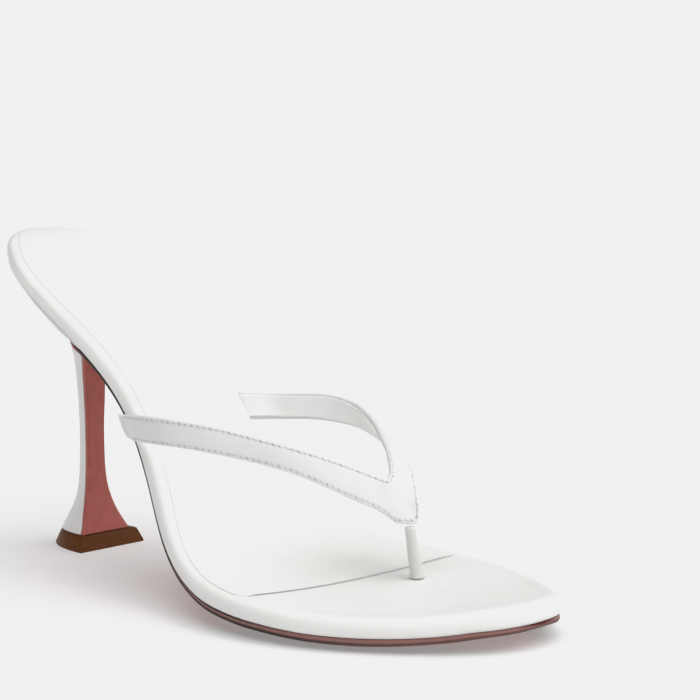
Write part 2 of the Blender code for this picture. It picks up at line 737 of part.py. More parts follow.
# ---- toe post ---------------------------------------------------------------------------
def toe_post():
    shell = Shell()
    centres = np.array([(p.x, p.y, p.z) for p in POST])
    rings = []
    for k, row in enumerate(POST):
        a = centres[max(k - 1, 0)]
        b = centres[min(k + 1, len(POST) - 1)]
        axis = (b - a) / np.linalg.norm(b - a)
        if k == 0:
            axis = np.array([0.0, 0.0, 1.0])
        side = np.cross(axis, (1.0, 0.0, 0.0))
        side /= np.linalg.norm(side)
        front = np.cross(side, axis)
        points = []
        for i in range(POST_SIDES):
            t = 2 * math.pi * i / POST_SIDES
            offset = math.cos(t) * front + math.sin(t) * side
            points.append(centres[k] + row.diameter / 2 * offset)
        rings.append(shell.ring(points))
    for a, b in zip(rings[:-1], rings[1:]):
        shell.bridge(a, b)
    low = shell.add(centres[0])
    high = shell.add(centres[-1])
    shell.fan(rings[0][::-1], low)
    shell.fan(rings[-1], high)
    return shell.make("toe_post", (0.84, 0.84, 0.82), 0.45)


# ---- upper ------------------------------------------------------------------------------
def band_point(side, x, out, drop):
    """Point beside the footbed: outline at x moved outward, at a depth under the top."""
    px, py = edge_point(side, x, 0.0)
    inner = surface(px, py, drop)
    away = edge_point(side, x, -out) - edge_point(side, x, 0.0)
    return inner + np.array([away[0], away[1], 0.0])


def strap_rows():
    """Upper edge, lower edge and wall of the outer face, lateral end to medial end."""
    rows = []
    for a in LATERAL_ANCHOR:
        rows.append((*band_point("lateral", a.top_x, a.out, a.drop),
                     *band_point("lateral", a.low_x, a.out, a.low_drop), a.wall))
    for s in LATERAL_STRAP + JOIN + MEDIAL_STRAP[:-1]:
        rows.append((s.tx, s.ty, s.tz, s.bx, s.by, s.bz, STRAP_WALL))
    s = MEDIAL_STRAP[-1]
    rows.append((s.tx, s.ty, s.tz, s.bx, s.by, s.bz, STRAP_WALL))
    for a in MEDIAL_ANCHOR:
        rows.append((*band_point("medial", a.top_x, a.out, a.drop),
                     *band_point("medial", a.low_x, a.out, a.low_drop), a.wall))
    rows = np.array(rows)
    centre = (rows[:, :3] + rows[:, 3:6]) / 2
    steps = np.sqrt(chord(centre)[1:] - chord(centre)[:-1])
    t = np.concatenate([[0.0], np.cumsum(steps)])
    length = chord(centre)
    curve = Spline(t, rows)
    want = np.linspace(0, length[-1], STRAP_STATIONS + 1)
    return curve, curve.at(np.interp(want, length, t)), want


def upper():
    curve, rows, _ = strap_rows()
    top, low, wall = rows[:, :3], rows[:, 3:6], rows[:, 6]
    shell = Shell()
    loops = []
    n = len(rows)
    lane = (0.0, 0.08, 0.36, 0.64, 0.92, 1.0)
    edge_in = (0.42, 0.0, 0.0, 0.0, 0.0, 0.42)
    for k in range(n):
        a, b = max(k - 1, 0), min(k + 1, n - 1)
        outer, inner = [], []
        for t, tuck in zip(lane, edge_in):
            point = top[k] + (low[k] - top[k]) * t
            before = top[a] + (low[a] - top[a]) * t
            after = top[b] + (low[b] - top[b]) * t
            along = after - before
            normal = -np.cross(along, low[k] - top[k])
            normal /= np.linalg.norm(normal)
            crown = STRAP_CROWN * (1 - (2 * t - 1) ** 2)
            outer.append(point + normal * (crown - tuck * wall[k] * 0.5))
            inner.append(point - normal * wall[k] * (1 - tuck * 0.5))
        loops.append(outer + inner[::-1])
    rings = [shell.ring(loop) for loop in loops]
    for a, b in zip(rings[:-1], rings[1:]):
        shell.bridge(a, b)
    m = len(lane)
    for ring, flip in ((rings[0], False), (rings[-1], True)):
        for i in range(m - 1):
            quad = (ring[i], ring[i + 1], ring[2 * m - 2 - i], ring[2 * m - 1 - i])
            tri = [[quad[0], quad[1], quad[2]], [quad[0], quad[2], quad[3]]]
            for face in tri:
                shell.face(*(face[::-1] if flip else face))
    return shell.make("upper", (0.87, 0.87, 0.85), 0.42)


# ---- assembly ---------------------------------------------------------------------------
for old in list(bpy.data.objects):
    bpy.data.objects.remove(old, do_unlink=True)

bodies = [footbed(), outsole(), upper(), toe_post(), heel(), top_lift()]

low = np.full(3, 1e9)
high = np.full(3, -1e9)
for body in bodies:
    for vertex in body.data.vertices:
        low = np.minimum(low, vertex.co)
        high = np.maximum(high, vertex.co)
shift = ((low[0] + high[0]) / 2, (low[1] + high[1]) / 2, low[2])
for body in bodies:
    for vertex in body.data.vertices:
        vertex.co.x -= shift[0]
        vertex.co.y -= shift[1]
        vertex.co.z -= shift[2]
    body.data.update()
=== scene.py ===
"""Looks of a heeled thong sandal, right shoe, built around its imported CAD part.

Shapes are worked out in millimetres in the last's own axes (x from the back of the footbed,
y from the centre line of the seat, z from the floor) and moved to the row frame at the end.
"""
import math
from collections import namedtuple

import bmesh
import bpy
import numpy as np
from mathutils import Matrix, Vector


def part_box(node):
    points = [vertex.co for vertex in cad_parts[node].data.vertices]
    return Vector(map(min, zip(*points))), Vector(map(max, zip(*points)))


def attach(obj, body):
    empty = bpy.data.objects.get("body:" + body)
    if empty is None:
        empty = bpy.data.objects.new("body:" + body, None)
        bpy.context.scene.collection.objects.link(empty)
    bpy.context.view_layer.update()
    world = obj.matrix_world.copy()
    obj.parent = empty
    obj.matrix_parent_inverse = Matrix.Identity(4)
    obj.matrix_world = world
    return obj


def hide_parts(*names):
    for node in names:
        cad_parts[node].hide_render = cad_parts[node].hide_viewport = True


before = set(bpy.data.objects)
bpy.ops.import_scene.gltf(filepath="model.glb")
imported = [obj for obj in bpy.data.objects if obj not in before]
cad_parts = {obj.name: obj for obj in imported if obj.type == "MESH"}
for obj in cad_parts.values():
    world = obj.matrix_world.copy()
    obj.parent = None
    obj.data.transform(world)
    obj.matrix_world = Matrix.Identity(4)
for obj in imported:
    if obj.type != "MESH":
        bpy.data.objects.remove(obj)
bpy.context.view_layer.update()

MM = 0.001

# ---- sizes, millimetres ----
GAP = 0.3
FOOTBED_THICKNESS = 4.8
UNDER_FOOTBED = FOOTBED_THICKNESS + GAP
OUTSOLE_THICKNESS = 1.6
OUTSOLE_WAIST = 1.1
OUTSOLE_INSET = 1.3
OUTSOLE_SPLIT = 66.6
FLANGE_INSET = 1.6
FLANGE_THICKNESS = 1.2
FLANGE_FRONT = 60.6
BREAST_THICKNESS = 1.05
STRAP_WALL = 1.8
STRAP_CROWN = 0.25
LEATHER_SHARE = 0.72        # of the strap's wall, the rest is lining
FOLD = 0.45                 # from the strap's edge to where its fold starts
LIFT_HEIGHT = 4.6
RISE_POWER = 2.4
RISE_MIN_WIDTH = 18.0
FLAT_DEPTH = 0.42
SOCK_THICKNESS = 0.38
STITCH_PITCH = 1.7
STITCH_INSET = 0.95
STITCH_START = 9.0
THREAD = 0.34
THREAD_LEVEL = -0.07
GRAIN_DEPTH = 0.018

# ---- tables ----
def rows(kind, table):
    """Gives the columns of a table their names."""
    return [kind(*values) for values in table]


Edge = namedtuple("Edge", "x lateral medial")
HEEL_POINT = (3.3, 1.0)
TOE_POINT = (206.16, 3.4)
OUTLINE = rows(Edge, (
    (6, -7.8, 8.7), (14.5, -16.8, 15.3), (27, -25.0, 20.4), (42, -29.2, 21.2),
    (58, -29.0, 17.8), (72, -28.3, 13.6), (86, -29.2, 10.0), (98, -32.5, 9.8),
    (110, -37.8, 14.5), (122, -42.6, 23.5), (136, -46.0, 32.0),
    (151, -45.5, 35.0), (166, -41.3, 34.8), (180, -33.5, 30.7),
    (192, -23.6, 23.6), (201, -12.8, 16.2),
))
Level = namedtuple("Level", "x z")
PROFILE = rows(Level, (
    (0, 94.2), (12, 92.6), (24, 88.8), (35, 84.1), (46, 78.7),
    (57, 72.8), (67, 66.6), (77, 59.2), (86, 50.8), (95, 40.4),
    (104, 29.2), (112, 20.2), (121, 13.6), (131, 9.8), (142, 7.9),
    (154, 7.1), (166, 6.8), (178, 6.9), (190, 7.9), (199, 9.6),
    (206.5, 11.8),
))
Rise = namedtuple("Rise", "x lateral medial")
RISES = rows(Rise, (
    (0, 1.5, 1.5), (30, 1.4, 1.5), (46, 0.8, 1.6), (57, 0.0, 2.2),
    (65, -0.3, 2.5), (77, -0.3, 2.4), (88, 0.0, 2.0), (97, 0.3, 1.6),
    (106, 0.8, 1.6), (114, 1.4, 1.8), (126, 2.4, 2.4), (140, 2.8, 2.6),
    (153, 2.5, 2.7), (165, 2.0, 2.6), (180, 1.8, 2.4), (192, 1.5, 1.8),
    (206.5, 1.2, 1.2),
))
Crown = namedtuple("Crown", "x up")
CROWN = rows(Crown, (
    (0, 0.8), (40, 0.8), (65, 1.0), (97, 0.9), (114, 1.6),
    (126, 2.4), (140, 2.8), (160, 2.9), (172, 2.6), (185, 2.1),
    (206.5, 1.2),
))
Rim = namedtuple("Rim", "inset drop")
RIM = rows(Rim, (
    (5.2, 0.0), (3.4, -0.15), (1.7, 0.05), (0.6, 0.75), (0.08, 1.8),
    (0.0, 2.8), (0.25, 3.9), (0.9, 4.55), (2.2, 4.8),
))
Seam = namedtuple("Seam", "x inset")
SOCK_SEAM = rows(Seam, (
    (0, 3.0), (40, 2.9), (80, 2.8), (100, 3.3), (107, 3.2),
    (115, 2.6), (140, 2.5), (152, 2.5),
))
CROSS_SEAM_X = 153.2
CROSS_SEAM_Y = -4.0
CROSS_SEAM_BOW = {"lateral": 0.0044, "medial": 0.0017}
CROSS_SEAM_CORNER = 4.5

Neck = namedtuple("Neck", "x z half mid lean back_x back_z round follow")
BREAST = rows(Neck, (
    (57.5, 64.2, 21.3, -5.8, 1.0, 7.0, 84.9, 0.15, 1.0),
    (53.0, 65.9, 19.5, -5.2, 0.90, 12.5, 82.9, 0.40, 1.0),
    (49.5, 66.9, 16.5, -4.6, 0.60, 17.5, 80.2, 0.70, 1.0),
    (46.3, 67.0, 13.2, -3.9, 0.35, 22.0, 76.4, 0.90, 0.65),
    (43.3, 66.0, 10.2, -3.3, 0.15, 24.8, 72.0, 1.0, 0.30),
    (40.6, 63.9, 7.8, -2.8, 0.05, 26.4, 67.4, 1.0, 0.0),
    (38.4, 60.8, 5.4, -2.9, 0.0, 27.6, 62.6, 1.0, 0.0),
    (37.0, 57.0, 4.3, -2.5, 0.0, 28.4, 58.2, 1.0, 0.0),
    (36.3, 52.0, 3.9, -2.1, 0.0, 29.0, 52.6, 1.0, 0.0),
    (36.0, 45.0, 3.57, -1.8, 0.0, 29.3, 45.0, 1.0, 0.0),
    (35.9, 38.0, 3.24, -1.8, 0.0, 29.5, 38.0, 1.0, 0.0),
    (35.9, 30.0, 3.18, -1.8, 0.0, 29.5, 30.0, 1.0, 0.0),
    (36.1, 24.0, 3.33, -1.9, 0.0, 29.5, 24.0, 1.0, 0.0),
    (36.7, 18.5, 3.9, -2.15, 0.0, 29.4, 18.5, 1.0, 0.0),
    (37.8, 13.2, 5.25, -2.35, 0.0, 28.3, 13.2, 1.0, 0.0),
    (39.1, 8.8, 6.95, -2.35, 0.0, 25.8, 8.8, 1.0, 0.0),
    (40.0, 5.9, 8.3, -2.15, 0.0, 24.0, 5.9, 1.0, 0.0),
    (40.2, 4.9, 8.8, -2.1, 0.0, 23.4, 4.9, 1.0, 0.0),
))
Lift = namedtuple("Lift", "z front back half")
LIFT = rows(Lift, (
    (LIFT_HEIGHT - 0.05, 40.55, 22.9, 9.85),
    (LIFT_HEIGHT - 0.3, 40.95, 22.55, 10.25),
    (2.4, 41.45, 21.55, 11.25),
    (0.35, 41.93, 20.62, 12.18),
    (0.0, 41.75, 20.8, 12.0),
))
LIFT_MID = -1.1
D_POWER = 2.3

Strap = namedtuple("Strap", "tx ty tz bx by bz")
LATERAL_STRAP = rows(Strap, (
    (87.5, -33.6, 49.5, 92.0, -34.2, 42.7), (94.5, -38.2, 50.8, 98.0, -38.3, 43.8),
    (102, -41.6, 51.8, 105, -40.8, 44.5), (110, -42.3, 52.4, 112.5, -41.0, 44.8),
    (118, -39.8, 52.1, 120, -38.5, 44.4), (126, -34.5, 50.8, 128, -33.6, 43.1),
    (134, -27.8, 48.4, 136, -27.2, 41.0), (142, -19.7, 45.2, 144.5, -19.5, 37.5),
    (149, -10.5, 41.1, 153, -9.5, 31.5),
))
JOIN = rows(Strap, (
    (153.4, -3.1, 37.5, 157.4, -2.4, 27.3), (154.8, -1.4, 36.6, 159.2, 0.2, 24.9),
    (155.2, -0.1, 36.3, 160.4, 2.5, 24.6), (154.9, 1.2, 36.7, 161.3, 5.0, 24.7),
    (153.9, 2.7, 37.5, 161.2, 5.8, 27.6), (152.1, 4.6, 38.7, 160.2, 6.4, 30.8),
))
MEDIAL_STRAP = rows(Strap, (
    (148.9, 6.9, 40.8, 157.0, 8.7, 35.4), (146.2, 8.8, 42.8, 153.4, 10.8, 38.0),
    (143.5, 10.5, 44.6, 149.2, 13.0, 39.4), (138.7, 13.4, 47.3, 143.6, 15.6, 40.8),
    (133.9, 16.1, 49.0, 138.3, 17.5, 41.7), (128.8, 18.4, 50.3, 133.3, 18.9, 42.6),
    (123.2, 20.2, 51.1, 127.9, 20.1, 43.5), (117.2, 21.1, 51.6, 122.0, 20.6, 44.1),
    (110.0, 20.7, 51.7, 114.9, 20.4, 44.3), (100.2, 18.7, 50.9, 105.4, 18.5, 44.1),
    (91.2, 15.6, 50.3, 96.7, 15.8, 43.3),
))
Anchor = namedtuple("Anchor", "top_x low_x drop low_drop out wall")
LATERAL_ANCHOR = rows(Anchor, (
    (84.4, 90.0, 5.7, 5.7, 0.3, 0.8), (84.9, 90.5, 4.9, 4.9, 1.35, 1.3),
    (85.6, 91.2, 3.6, 3.6, 2.05, 1.7), (86.5, 92.0, 2.2, 2.2, 2.2, 1.8),
))
MEDIAL_ANCHOR = rows(Anchor, (
    (86.9, 92.6, 2.2, 3.4, 2.2, 1.8), (86.0, 92.2, 3.6, 4.6, 2.05, 1.7),
    (85.3, 91.8, 4.9, 5.3, 1.35, 1.3), (84.8, 91.4, 5.7, 5.8, 0.3, 0.8),
))
Post = namedtuple("Post", "x y z diameter")
POST = rows(Post, (
    (161.7, 4.5, 10.15, 4.0), (161.68, 4.4, 11.2, 3.7), (161.6, 4.0, 13.5, 3.5),
    (161.45, 3.4, 17.0, 3.2), (161.25, 2.8, 21.0, 3.0), (161.05, 2.4, 23.8, 2.9),
))

# ---- colours, linear ----
WHITE_LEATHER = (0.82, 0.815, 0.80)
WHITE_SHADE = (0.76, 0.753, 0.738)
STRAP_WHITE = (0.765, 0.762, 0.764)
STRAP_SHADE = (0.70, 0.695, 0.70)
LINING_WHITE = (0.90, 0.897, 0.888)
LINING_SHADE = (0.86, 0.855, 0.845)
POST_WHITE = (0.68, 0.672, 0.655)
POST_SHADE = (0.65, 0.64, 0.62)
TERRACOTTA = (0.42, 0.115, 0.092)
TERRACOTTA_SHADE = (0.35, 0.092, 0.073)
# dark paint of the outsole's edge, also used for painted shade in its joint and for painted
# contact shadow
EDGE_PAINT_AND_SHADE = (0.022, 0.012, 0.01)
EDGE_BROWN = (0.27, 0.125, 0.108)
LIFT_BROWN = (0.130, 0.047, 0.014)
THREAD_WHITE = (0.70, 0.695, 0.70)
# painted shade in the stitch holes
HOLE_SHADE = (0.20, 0.19, 0.21)
# the sock's grey cut edge, and painted shade in the seam beside it
CUT_EDGE_AND_SEAM_SHADE = (0.50, 0.49, 0.49)
# painted shade in the crease under the seat
CREASE_SHADE = (0.15, 0.145, 0.145)


# ---- curves ----
class Spline:
    """Natural cubic spline through (t, v); v may hold several columns."""

    def __init__(self, t, v):
        self.t = np.array(t, float)
        self.v = np.array(v, float)
        n = len(self.t)
        h = np.diff(self.t)
        a = np.eye(n)
        r = np.zeros(self.v.shape)
        for i in range(1, n - 1):
            a[i, i - 1] = h[i - 1]
            a[i, i] = 2 * (h[i - 1] + h[i])
            a[i, i + 1] = h[i]
            before = (self.v[i] - self.v[i - 1]) / h[i - 1]
            r[i] = 6 * ((self.v[i + 1] - self.v[i]) / h[i] - before)
        self.m = np.linalg.solve(a, r)

    def at(self, x, order=0):
        x = np.atleast_1d(np.array(x, float))
        i = np.clip(np.searchsorted(self.t, x) - 1, 0, len(self.t) - 2)
        h = self.t[i + 1] - self.t[i]
        a = (self.t[i + 1] - x) / h
        b = (x - self.t[i]) / h
        if self.v.ndim > 1:
            h, a, b = h[:, None], a[:, None], b[:, None]
        if order == 0:
            bend = ((a**3 - a) * self.m[i] + (b**3 - b) * self.m[i + 1]) * h * h / 6
            return a * self.v[i] + b * self.v[i + 1] + bend
        turn = ((3 * b * b - 1) * self.m[i + 1] - (3 * a * a - 1) * self.m[i]) * h / 6
        return (self.v[i + 1] - self.v[i]) / h + turn


def chord(points):
    """Length along a line of points, from its start."""
    steps = np.linalg.norm(np.diff(points, axis=0), axis=1)
    return np.concatenate([[0.0], np.cumsum(steps)])


def smooth(t):
    t = np.clip(t, 0.0, 1.0)
    return t * t * (3 - 2 * t)


def unit(v):
    v = np.asarray(v, float)
    return v / np.linalg.norm(v, axis=-1, keepdims=True)


def directions(line):
    """Direction of a line at each of its points."""
    wide = np.vstack([line[:1], line, line[-1:]])
    return unit(wide[2:] - wide[:-2])


def eased(count, ends=0.6):
    """Fractions 0 to 1, closer together toward both ends."""
    k = np.arange(count + 1) / count
    return (1 - ends) * k + ends * (1 - np.cos(math.pi * k)) / 2


def at_rows(want, t, points):
    """Every column of points at the wanted values of t."""
    return np.stack([np.interp(want, t, column) for column in points.T], 1)


def resample(points, fractions):
    """Points at those fractions of a line's length."""
    points = np.asarray(points, float)
    t = chord(points)
    return at_rows(np.asarray(fractions) * t[-1], t, points)


def outline_sides(samples=3600):
    """Plan outline of the footbed as two open lines from the heel to the toe, with normals."""
    lateral = [(e.x, e.lateral) for e in OUTLINE]
    medial = [(e.x, e.medial) for e in reversed(OUTLINE)]
    loop = np.array([HEEL_POINT] + lateral + [TOE_POINT] + medial, float)
    three = np.vstack([loop, loop, loop, loop[:1]])
    t = chord(three)
    curve = Spline(t, three)
    loop = curve.at(np.linspace(t[len(loop)], t[2 * len(loop)], samples, endpoint=False))
    step = unit(np.roll(loop, -1, axis=0) - np.roll(loop, 1, axis=0))
    inward = np.stack([-step[:, 1], step[:, 0]], 1)
    heel = int(np.argmin(loop[:, 0]))
    loop = np.roll(loop, -heel, axis=0)
    inward = np.roll(inward, -heel, axis=0)
    toe = int(np.argmax(loop[:, 0]))
    return {
        "lateral": (loop[: toe + 1], inward[: toe + 1]),
        "medial": (np.vstack([loop[toe:], loop[:1]])[::-1],
                   np.vstack([inward[toe:], inward[:1]])[::-1]),
    }


def table_at(x, table, column):
    """A column of a table between its rows at x."""
    return np.interp(x, [r.x for r in table], [getattr(r, column) for r in table])


SIDES = outline_sides()
SIDE_LENGTHS = {side: chord(SIDES[side][0]) for side in SIDES}
PROFILE_CURVE = Spline([p.x for p in PROFILE], [p.z for p in PROFILE])


def edge_at(side, key, value, inset):
    """Outline points where key (x or arc) takes the given values, moved inward by inset."""
    pts, inward = SIDES[side]
    along = pts[:, 0] if key == "x" else SIDE_LENGTHS[side] / SIDE_LENGTHS[side][-1]
    value = np.atleast_1d(np.asarray(value, float))
    n = unit(at_rows(value, along, inward))
    return at_rows(value, along, pts) + n * np.broadcast_to(inset, value.shape)[:, None]


def edge_y(side, x):
    pts = SIDES[side][0]
    return np.interp(x, pts[:, 0], pts[:, 1])


def across(x, y):
    """Half width at x and the distance of y from the middle."""
    lat, med = edge_y("lateral", x), edge_y("medial", x)
    return (med - lat) / 2, y - (lat + med) / 2


def cross_rise(x, y):
    """How far the footbed's sides stand above its profile."""
    half, off = across(x, y)
    rise = np.where(off > 0, table_at(x, RISES, "medial"), table_at(x, RISES, "lateral"))
    return rise * (np.abs(off) / np.maximum(half, RISE_MIN_WIDTH)) ** RISE_POWER


def cushion(x, y):
    """Height of the padding over the top line."""
    x = np.clip(x, 0.0, TOE_POINT[0])
    half, off = across(x, y)
    half = np.maximum(half, 1.0)
    u = np.minimum(np.abs(off) / half, 1.0)
    return table_at(x, CROWN, "up") * np.minimum(half / RISE_MIN_WIDTH, 1.0) * (1 - u**RISE_POWER)


def surface(x, y, drop):
    """Points at a depth under the top line of the footbed, along the normal of its profile."""
    x = np.atleast_1d(np.asarray(x, float))
    y = np.broadcast_to(np.asarray(y, float), x.shape)
    inside = np.clip(x, 0.0, TOE_POINT[0])
    z = PROFILE_CURVE.at(inside) + cross_rise(inside, y)
    slope = PROFILE_CURVE.at(inside, 1)
    size = np.sqrt(1 + slope * slope)
    return np.stack([x + slope * drop / size, y, z - drop / size], 1)


def under(x, y, drop):
    """Height of the level at that depth, straight above or below (x, y)."""
    x = np.atleast_1d(np.asarray(x, float))
    guess = x.copy()
    for _ in range(12):
        guess += x - surface(guess, y, drop)[:, 0]
    return surface(guess, y, drop)[:, 2]


def top_height(x, y):
    return under(x, y, 0.0) + cushion(x, y)


def on_top(xy, lift=0.0):
    """Points of the padded top, lifted along its normal."""
    x, y = xy[:, 0], xy[:, 1]
    e = 0.4
    z = top_height(x, y)
    dx = (top_height(x + e, y) - top_height(x - e, y)) / (2 * e)
    dy = (top_height(x, y + e) - top_height(x, y - e)) / (2 * e)
    normal = unit(np.stack([-dx, -dy, np.ones_like(dx)], 1))
    lift = np.broadcast_to(np.asarray(lift, float), x.shape)
    return np.stack([x, y, z], 1) + normal * lift[:, None]


# ---- meshes ----
class Skin:
    """Collects rows of vertices, quads between them and named values per vertex."""

    def __init__(self):
        self.rows = []
        self.count = 0
        self.faces = []
        self.values = {}

    def row(self, points, **values):
        points = np.asarray(points, float)
        ids = np.arange(self.count, self.count + len(points))
        self.rows.append(points)
        self.count += len(points)
        for name, value in values.items():
            held = self.values.setdefault(name, {})
            for i, v in zip(ids, np.broadcast_to(value, len(points))):
                held[int(i)] = float(v)
        return ids

    def face(self, *ids):
        clean = []
        for i in ids:
            if int(i) not in clean:
                clean.append(int(i))
        if len(clean) > 2:
            self.faces.append(clean)

    def bridge(self, low, high, closed=True):
        n = len(low)
        for i in range(n if closed else n - 1):
            j = (i + 1) % n
            self.face(low[i], low[j], high[j], high[i])

    def join(self, rings, closed=True):
        for a, b in zip(rings[:-1], rings[1:]):
            self.bridge(a, b, closed)

    def loft(self, loops):
        ids = [self.row(loop) for loop in loops]
        self.join(ids)
        return ids

    def fill(self, first, left, right, last, inner):
        """Strips across a ring from its first row to its last, each with its inner points."""
        columns = len(inner[0]) + 2
        rows = [np.broadcast_to(first, columns)]
        for a, b, points in zip(left, right, inner):
            rows.append(np.concatenate([[a], self.row(points), [b]]))
        rows.append(np.broadcast_to(last, columns))
        self.join(rows, closed=False)

    def cap(self, ring, point=None, **values):
        """Closes a ring with triangles round one point, the ring's middle unless given."""
        if point is None:
            point = np.vstack(self.rows)[ring].mean(0)
        hub = self.row([point], **values)[0]
        for i in range(len(ring)):
            self.face(ring[i], ring[(i + 1) % len(ring)], hub)

    def make(self, name, material, node=None, sharp=None):
        mesh = bpy.data.meshes.new(name)
        co = (np.vstack(self.rows) + SHIFT) * MM
        mesh.from_pydata(co.tolist(), [], self.faces)
        mesh.materials.append(material)
        for key, held in self.values.items():
            data = np.zeros(len(co), np.float32)
            data[list(held.keys())] = list(held.values())
            mesh.attributes.new(key, "FLOAT", "POINT").data.foreach_set("value", data)
        work = bmesh.new()
        work.from_mesh(mesh)
        bmesh.ops.recalc_face_normals(work, faces=work.faces[:])
        if work.calc_volume(signed=True) < 0:
            bmesh.ops.reverse_faces(work, faces=work.faces[:])
        work.to_mesh(mesh)
        work.free()
        mesh.shade_smooth()
        if sharp is not None:
            mesh.set_sharp_from_angle(angle=math.radians(sharp))
        mesh.update()
        piece = bpy.data.objects.new(name, mesh)
        bpy.context.scene.collection.objects.link(piece)
        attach(piece, "root")
        if node:
            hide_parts(node)
        return piece


box_low, box_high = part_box("footbed")


def row_shift():
    """From the last's axes to the row frame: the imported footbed's middle less the one here."""
    widest = min(RIM, key=lambda r: r.inset).drop
    fractions = np.linspace(0, 1, 400)
    found = []
    for side in ("lateral", "medial"):
        edge = edge_at(side, "arc", fractions, 0.0)
        found.append(surface(edge[:, 0], edge[:, 1], widest))
    found = np.vstack(found)
    low = found.min(0)
    high = found.max(0)
    x = (box_low[0] + box_high[0]) / 2 / MM - (low[0] + high[0]) / 2
    y = (box_low[1] + box_high[1]) / 2 / MM - (low[1] + high[1]) / 2
    return np.array([x, y, 0.0])


SHIFT = row_shift()


# ---- materials ----
def map_range(tree, *numbers):
    """Smooth step from the first two numbers to the last two."""
    node = tree.nodes.new("ShaderNodeMapRange")
    node.interpolation_type = "SMOOTHSTEP"
    for key, number in zip(("From Min", "From Max", "To Min", "To Max"), numbers):
        node.inputs[key].default_value = number
    return node


class Nodes:
    """Wires the nodes of one material."""

    def __init__(self, name, colour, roughness, specular, sheen=0.0):
        self.material = bpy.data.materials.new(name)
        self.material.use_nodes = True
        self.tree = self.material.node_tree
        self.shader = self.tree.nodes["Principled BSDF"]
        self.shader.inputs["Base Color"].default_value = (*colour, 1)
        self.shader.inputs["Roughness"].default_value = roughness
        self.shader.inputs["Specular IOR Level"].default_value = specular
        self.shader.inputs["Sheen Weight"].default_value = sheen
        self.place = self.add("ShaderNodeTexCoord").outputs["Object"]

    def add(self, kind, **settings):
        node = self.tree.nodes.new(kind)
        for key, value in settings.items():
            setattr(node, key, value)
        return node

    def link(self, source, target):
        self.tree.links.new(source, target)

    def noise(self, size, detail=3.0, roughness=0.5, stretch=None):
        """Noise with features of about the given size in millimetres."""
        node = self.add("ShaderNodeTexNoise")
        node.inputs["Scale"].default_value = 1 / (size * MM)
        node.inputs["Detail"].default_value = detail
        node.inputs["Roughness"].default_value = roughness
        place = self.place
        if stretch:
            mapping = self.add("ShaderNodeMapping")
            mapping.inputs["Scale"].default_value = stretch
            self.link(place, mapping.inputs["Vector"])
            place = mapping.outputs["Vector"]
        self.link(place, node.inputs["Vector"])
        return node.outputs["Fac"]

    def cells(self, size):
        node = self.add("ShaderNodeTexVoronoi", feature="DISTANCE_TO_EDGE")
        node.inputs["Scale"].default_value = 1 / (size * MM)
        node.inputs["Randomness"].default_value = 0.9
        self.link(self.place, node.inputs["Vector"])
        return self.span(node.outputs["Distance"], 0.0, 0.35, 0.0, 1.0)

    def span(self, value, low, high, to_low, to_high):
        node = map_range(self.tree, low, high, to_low, to_high)
        self.link(value, node.inputs["Value"])
        return node.outputs["Result"]

    def value(self, name):
        return self.add("ShaderNodeAttribute", attribute_name=name).outputs["Fac"]

    def mix(self, factor, first, second):
        """Colour mix; first and second are sockets or plain colours."""
        node = self.add("ShaderNodeMix", data_type="RGBA")
        self.link(factor, node.inputs["Factor"])
        for key, colour in (("A", first), ("B", second)):
            socket = [s for s in node.inputs if s.name == key and s.type == "RGBA"][0]
            if isinstance(colour, tuple):
                socket.default_value = (*colour, 1)
            else:
                self.link(colour, socket)
        return [s for s in node.outputs if s.type == "RGBA"][0]

    def colour(self, socket):
        self.link(socket, self.shader.inputs["Base Color"])

    def bump(self, height, depth, after=None):
        """depth in millimetres"""
        node = self.add("ShaderNodeBump")
        node.inputs["Distance"].default_value = depth * MM
        self.link(height, node.inputs["Height"])
        if after is not None:
            self.link(after, node.inputs["Normal"])
        self.link(node.outputs["Normal"], self.shader.inputs["Normal"])
        return node.outputs["Normal"]


def leather(name, light, shade, roughness=0.44, grain=0.42, wave=0.10, shade_mark=None,
            shade_mark_colour=HOLE_SHADE):
    """Smooth dressed leather: fine pebble grain, slow unevenness, slightly uneven gloss, and
    painted shade along a marked attribute.
    """
    n = Nodes(name, light, roughness, specular=0.42, sheen=0.06)
    n.shader.inputs["Sheen Roughness"].default_value = 0.5
    tint = n.mix(n.span(n.noise(14, 2), 0.35, 0.7, 0.0, 0.35), light, shade)
    tint = n.mix(n.span(n.cells(grain), 0.0, 0.25, 0.10, 0.0), tint, shade)
    if shade_mark:
        # painted shade where the marked attribute says: creases, stitch holes and the seam beside
        # the sock's cut edge
        tint = n.mix(n.value(shade_mark), tint, shade_mark_colour)
    n.colour(tint)
    rough = n.span(n.noise(5, 3), 0.3, 0.7, roughness - 0.05, roughness + 0.07)
    n.link(rough, n.shader.inputs["Roughness"])
    normal = n.bump(n.noise(7, 2), wave)
    normal = n.bump(n.cells(grain), GRAIN_DEPTH, after=normal)
    n.bump(n.noise(0.16, 2), GRAIN_DEPTH / 2, after=normal)
    return n.material


def sole_leather(name, light, shade):
    """Dyed and sanded sole leather with a fine fibrous nap, browned or painted edges, and painted
    shade at the top and foot of the edges.
    """
    n = Nodes(name, light, 0.58, specular=0.35)
    tint = n.mix(n.span(n.noise(3.0, 4, 0.6), 0.35, 0.7, 0.0, 0.7), light, shade)
    tint = n.mix(n.value("brown"), tint, EDGE_BROWN)
    # the edge's dark paint, with painted shade in the joint along its top and near the floor
    tint = n.mix(n.value("dark"), tint, EDGE_PAINT_AND_SHADE)
    n.colour(tint)
    n.link(n.span(n.noise(2.0, 3), 0.3, 0.7, 0.5, 0.66), n.shader.inputs["Roughness"])
    normal = n.bump(n.noise(0.5, 4, 0.65, stretch=(0.35, 1, 1)), 0.04)
    n.bump(n.noise(9, 2), 0.10, after=normal)
    return n.material


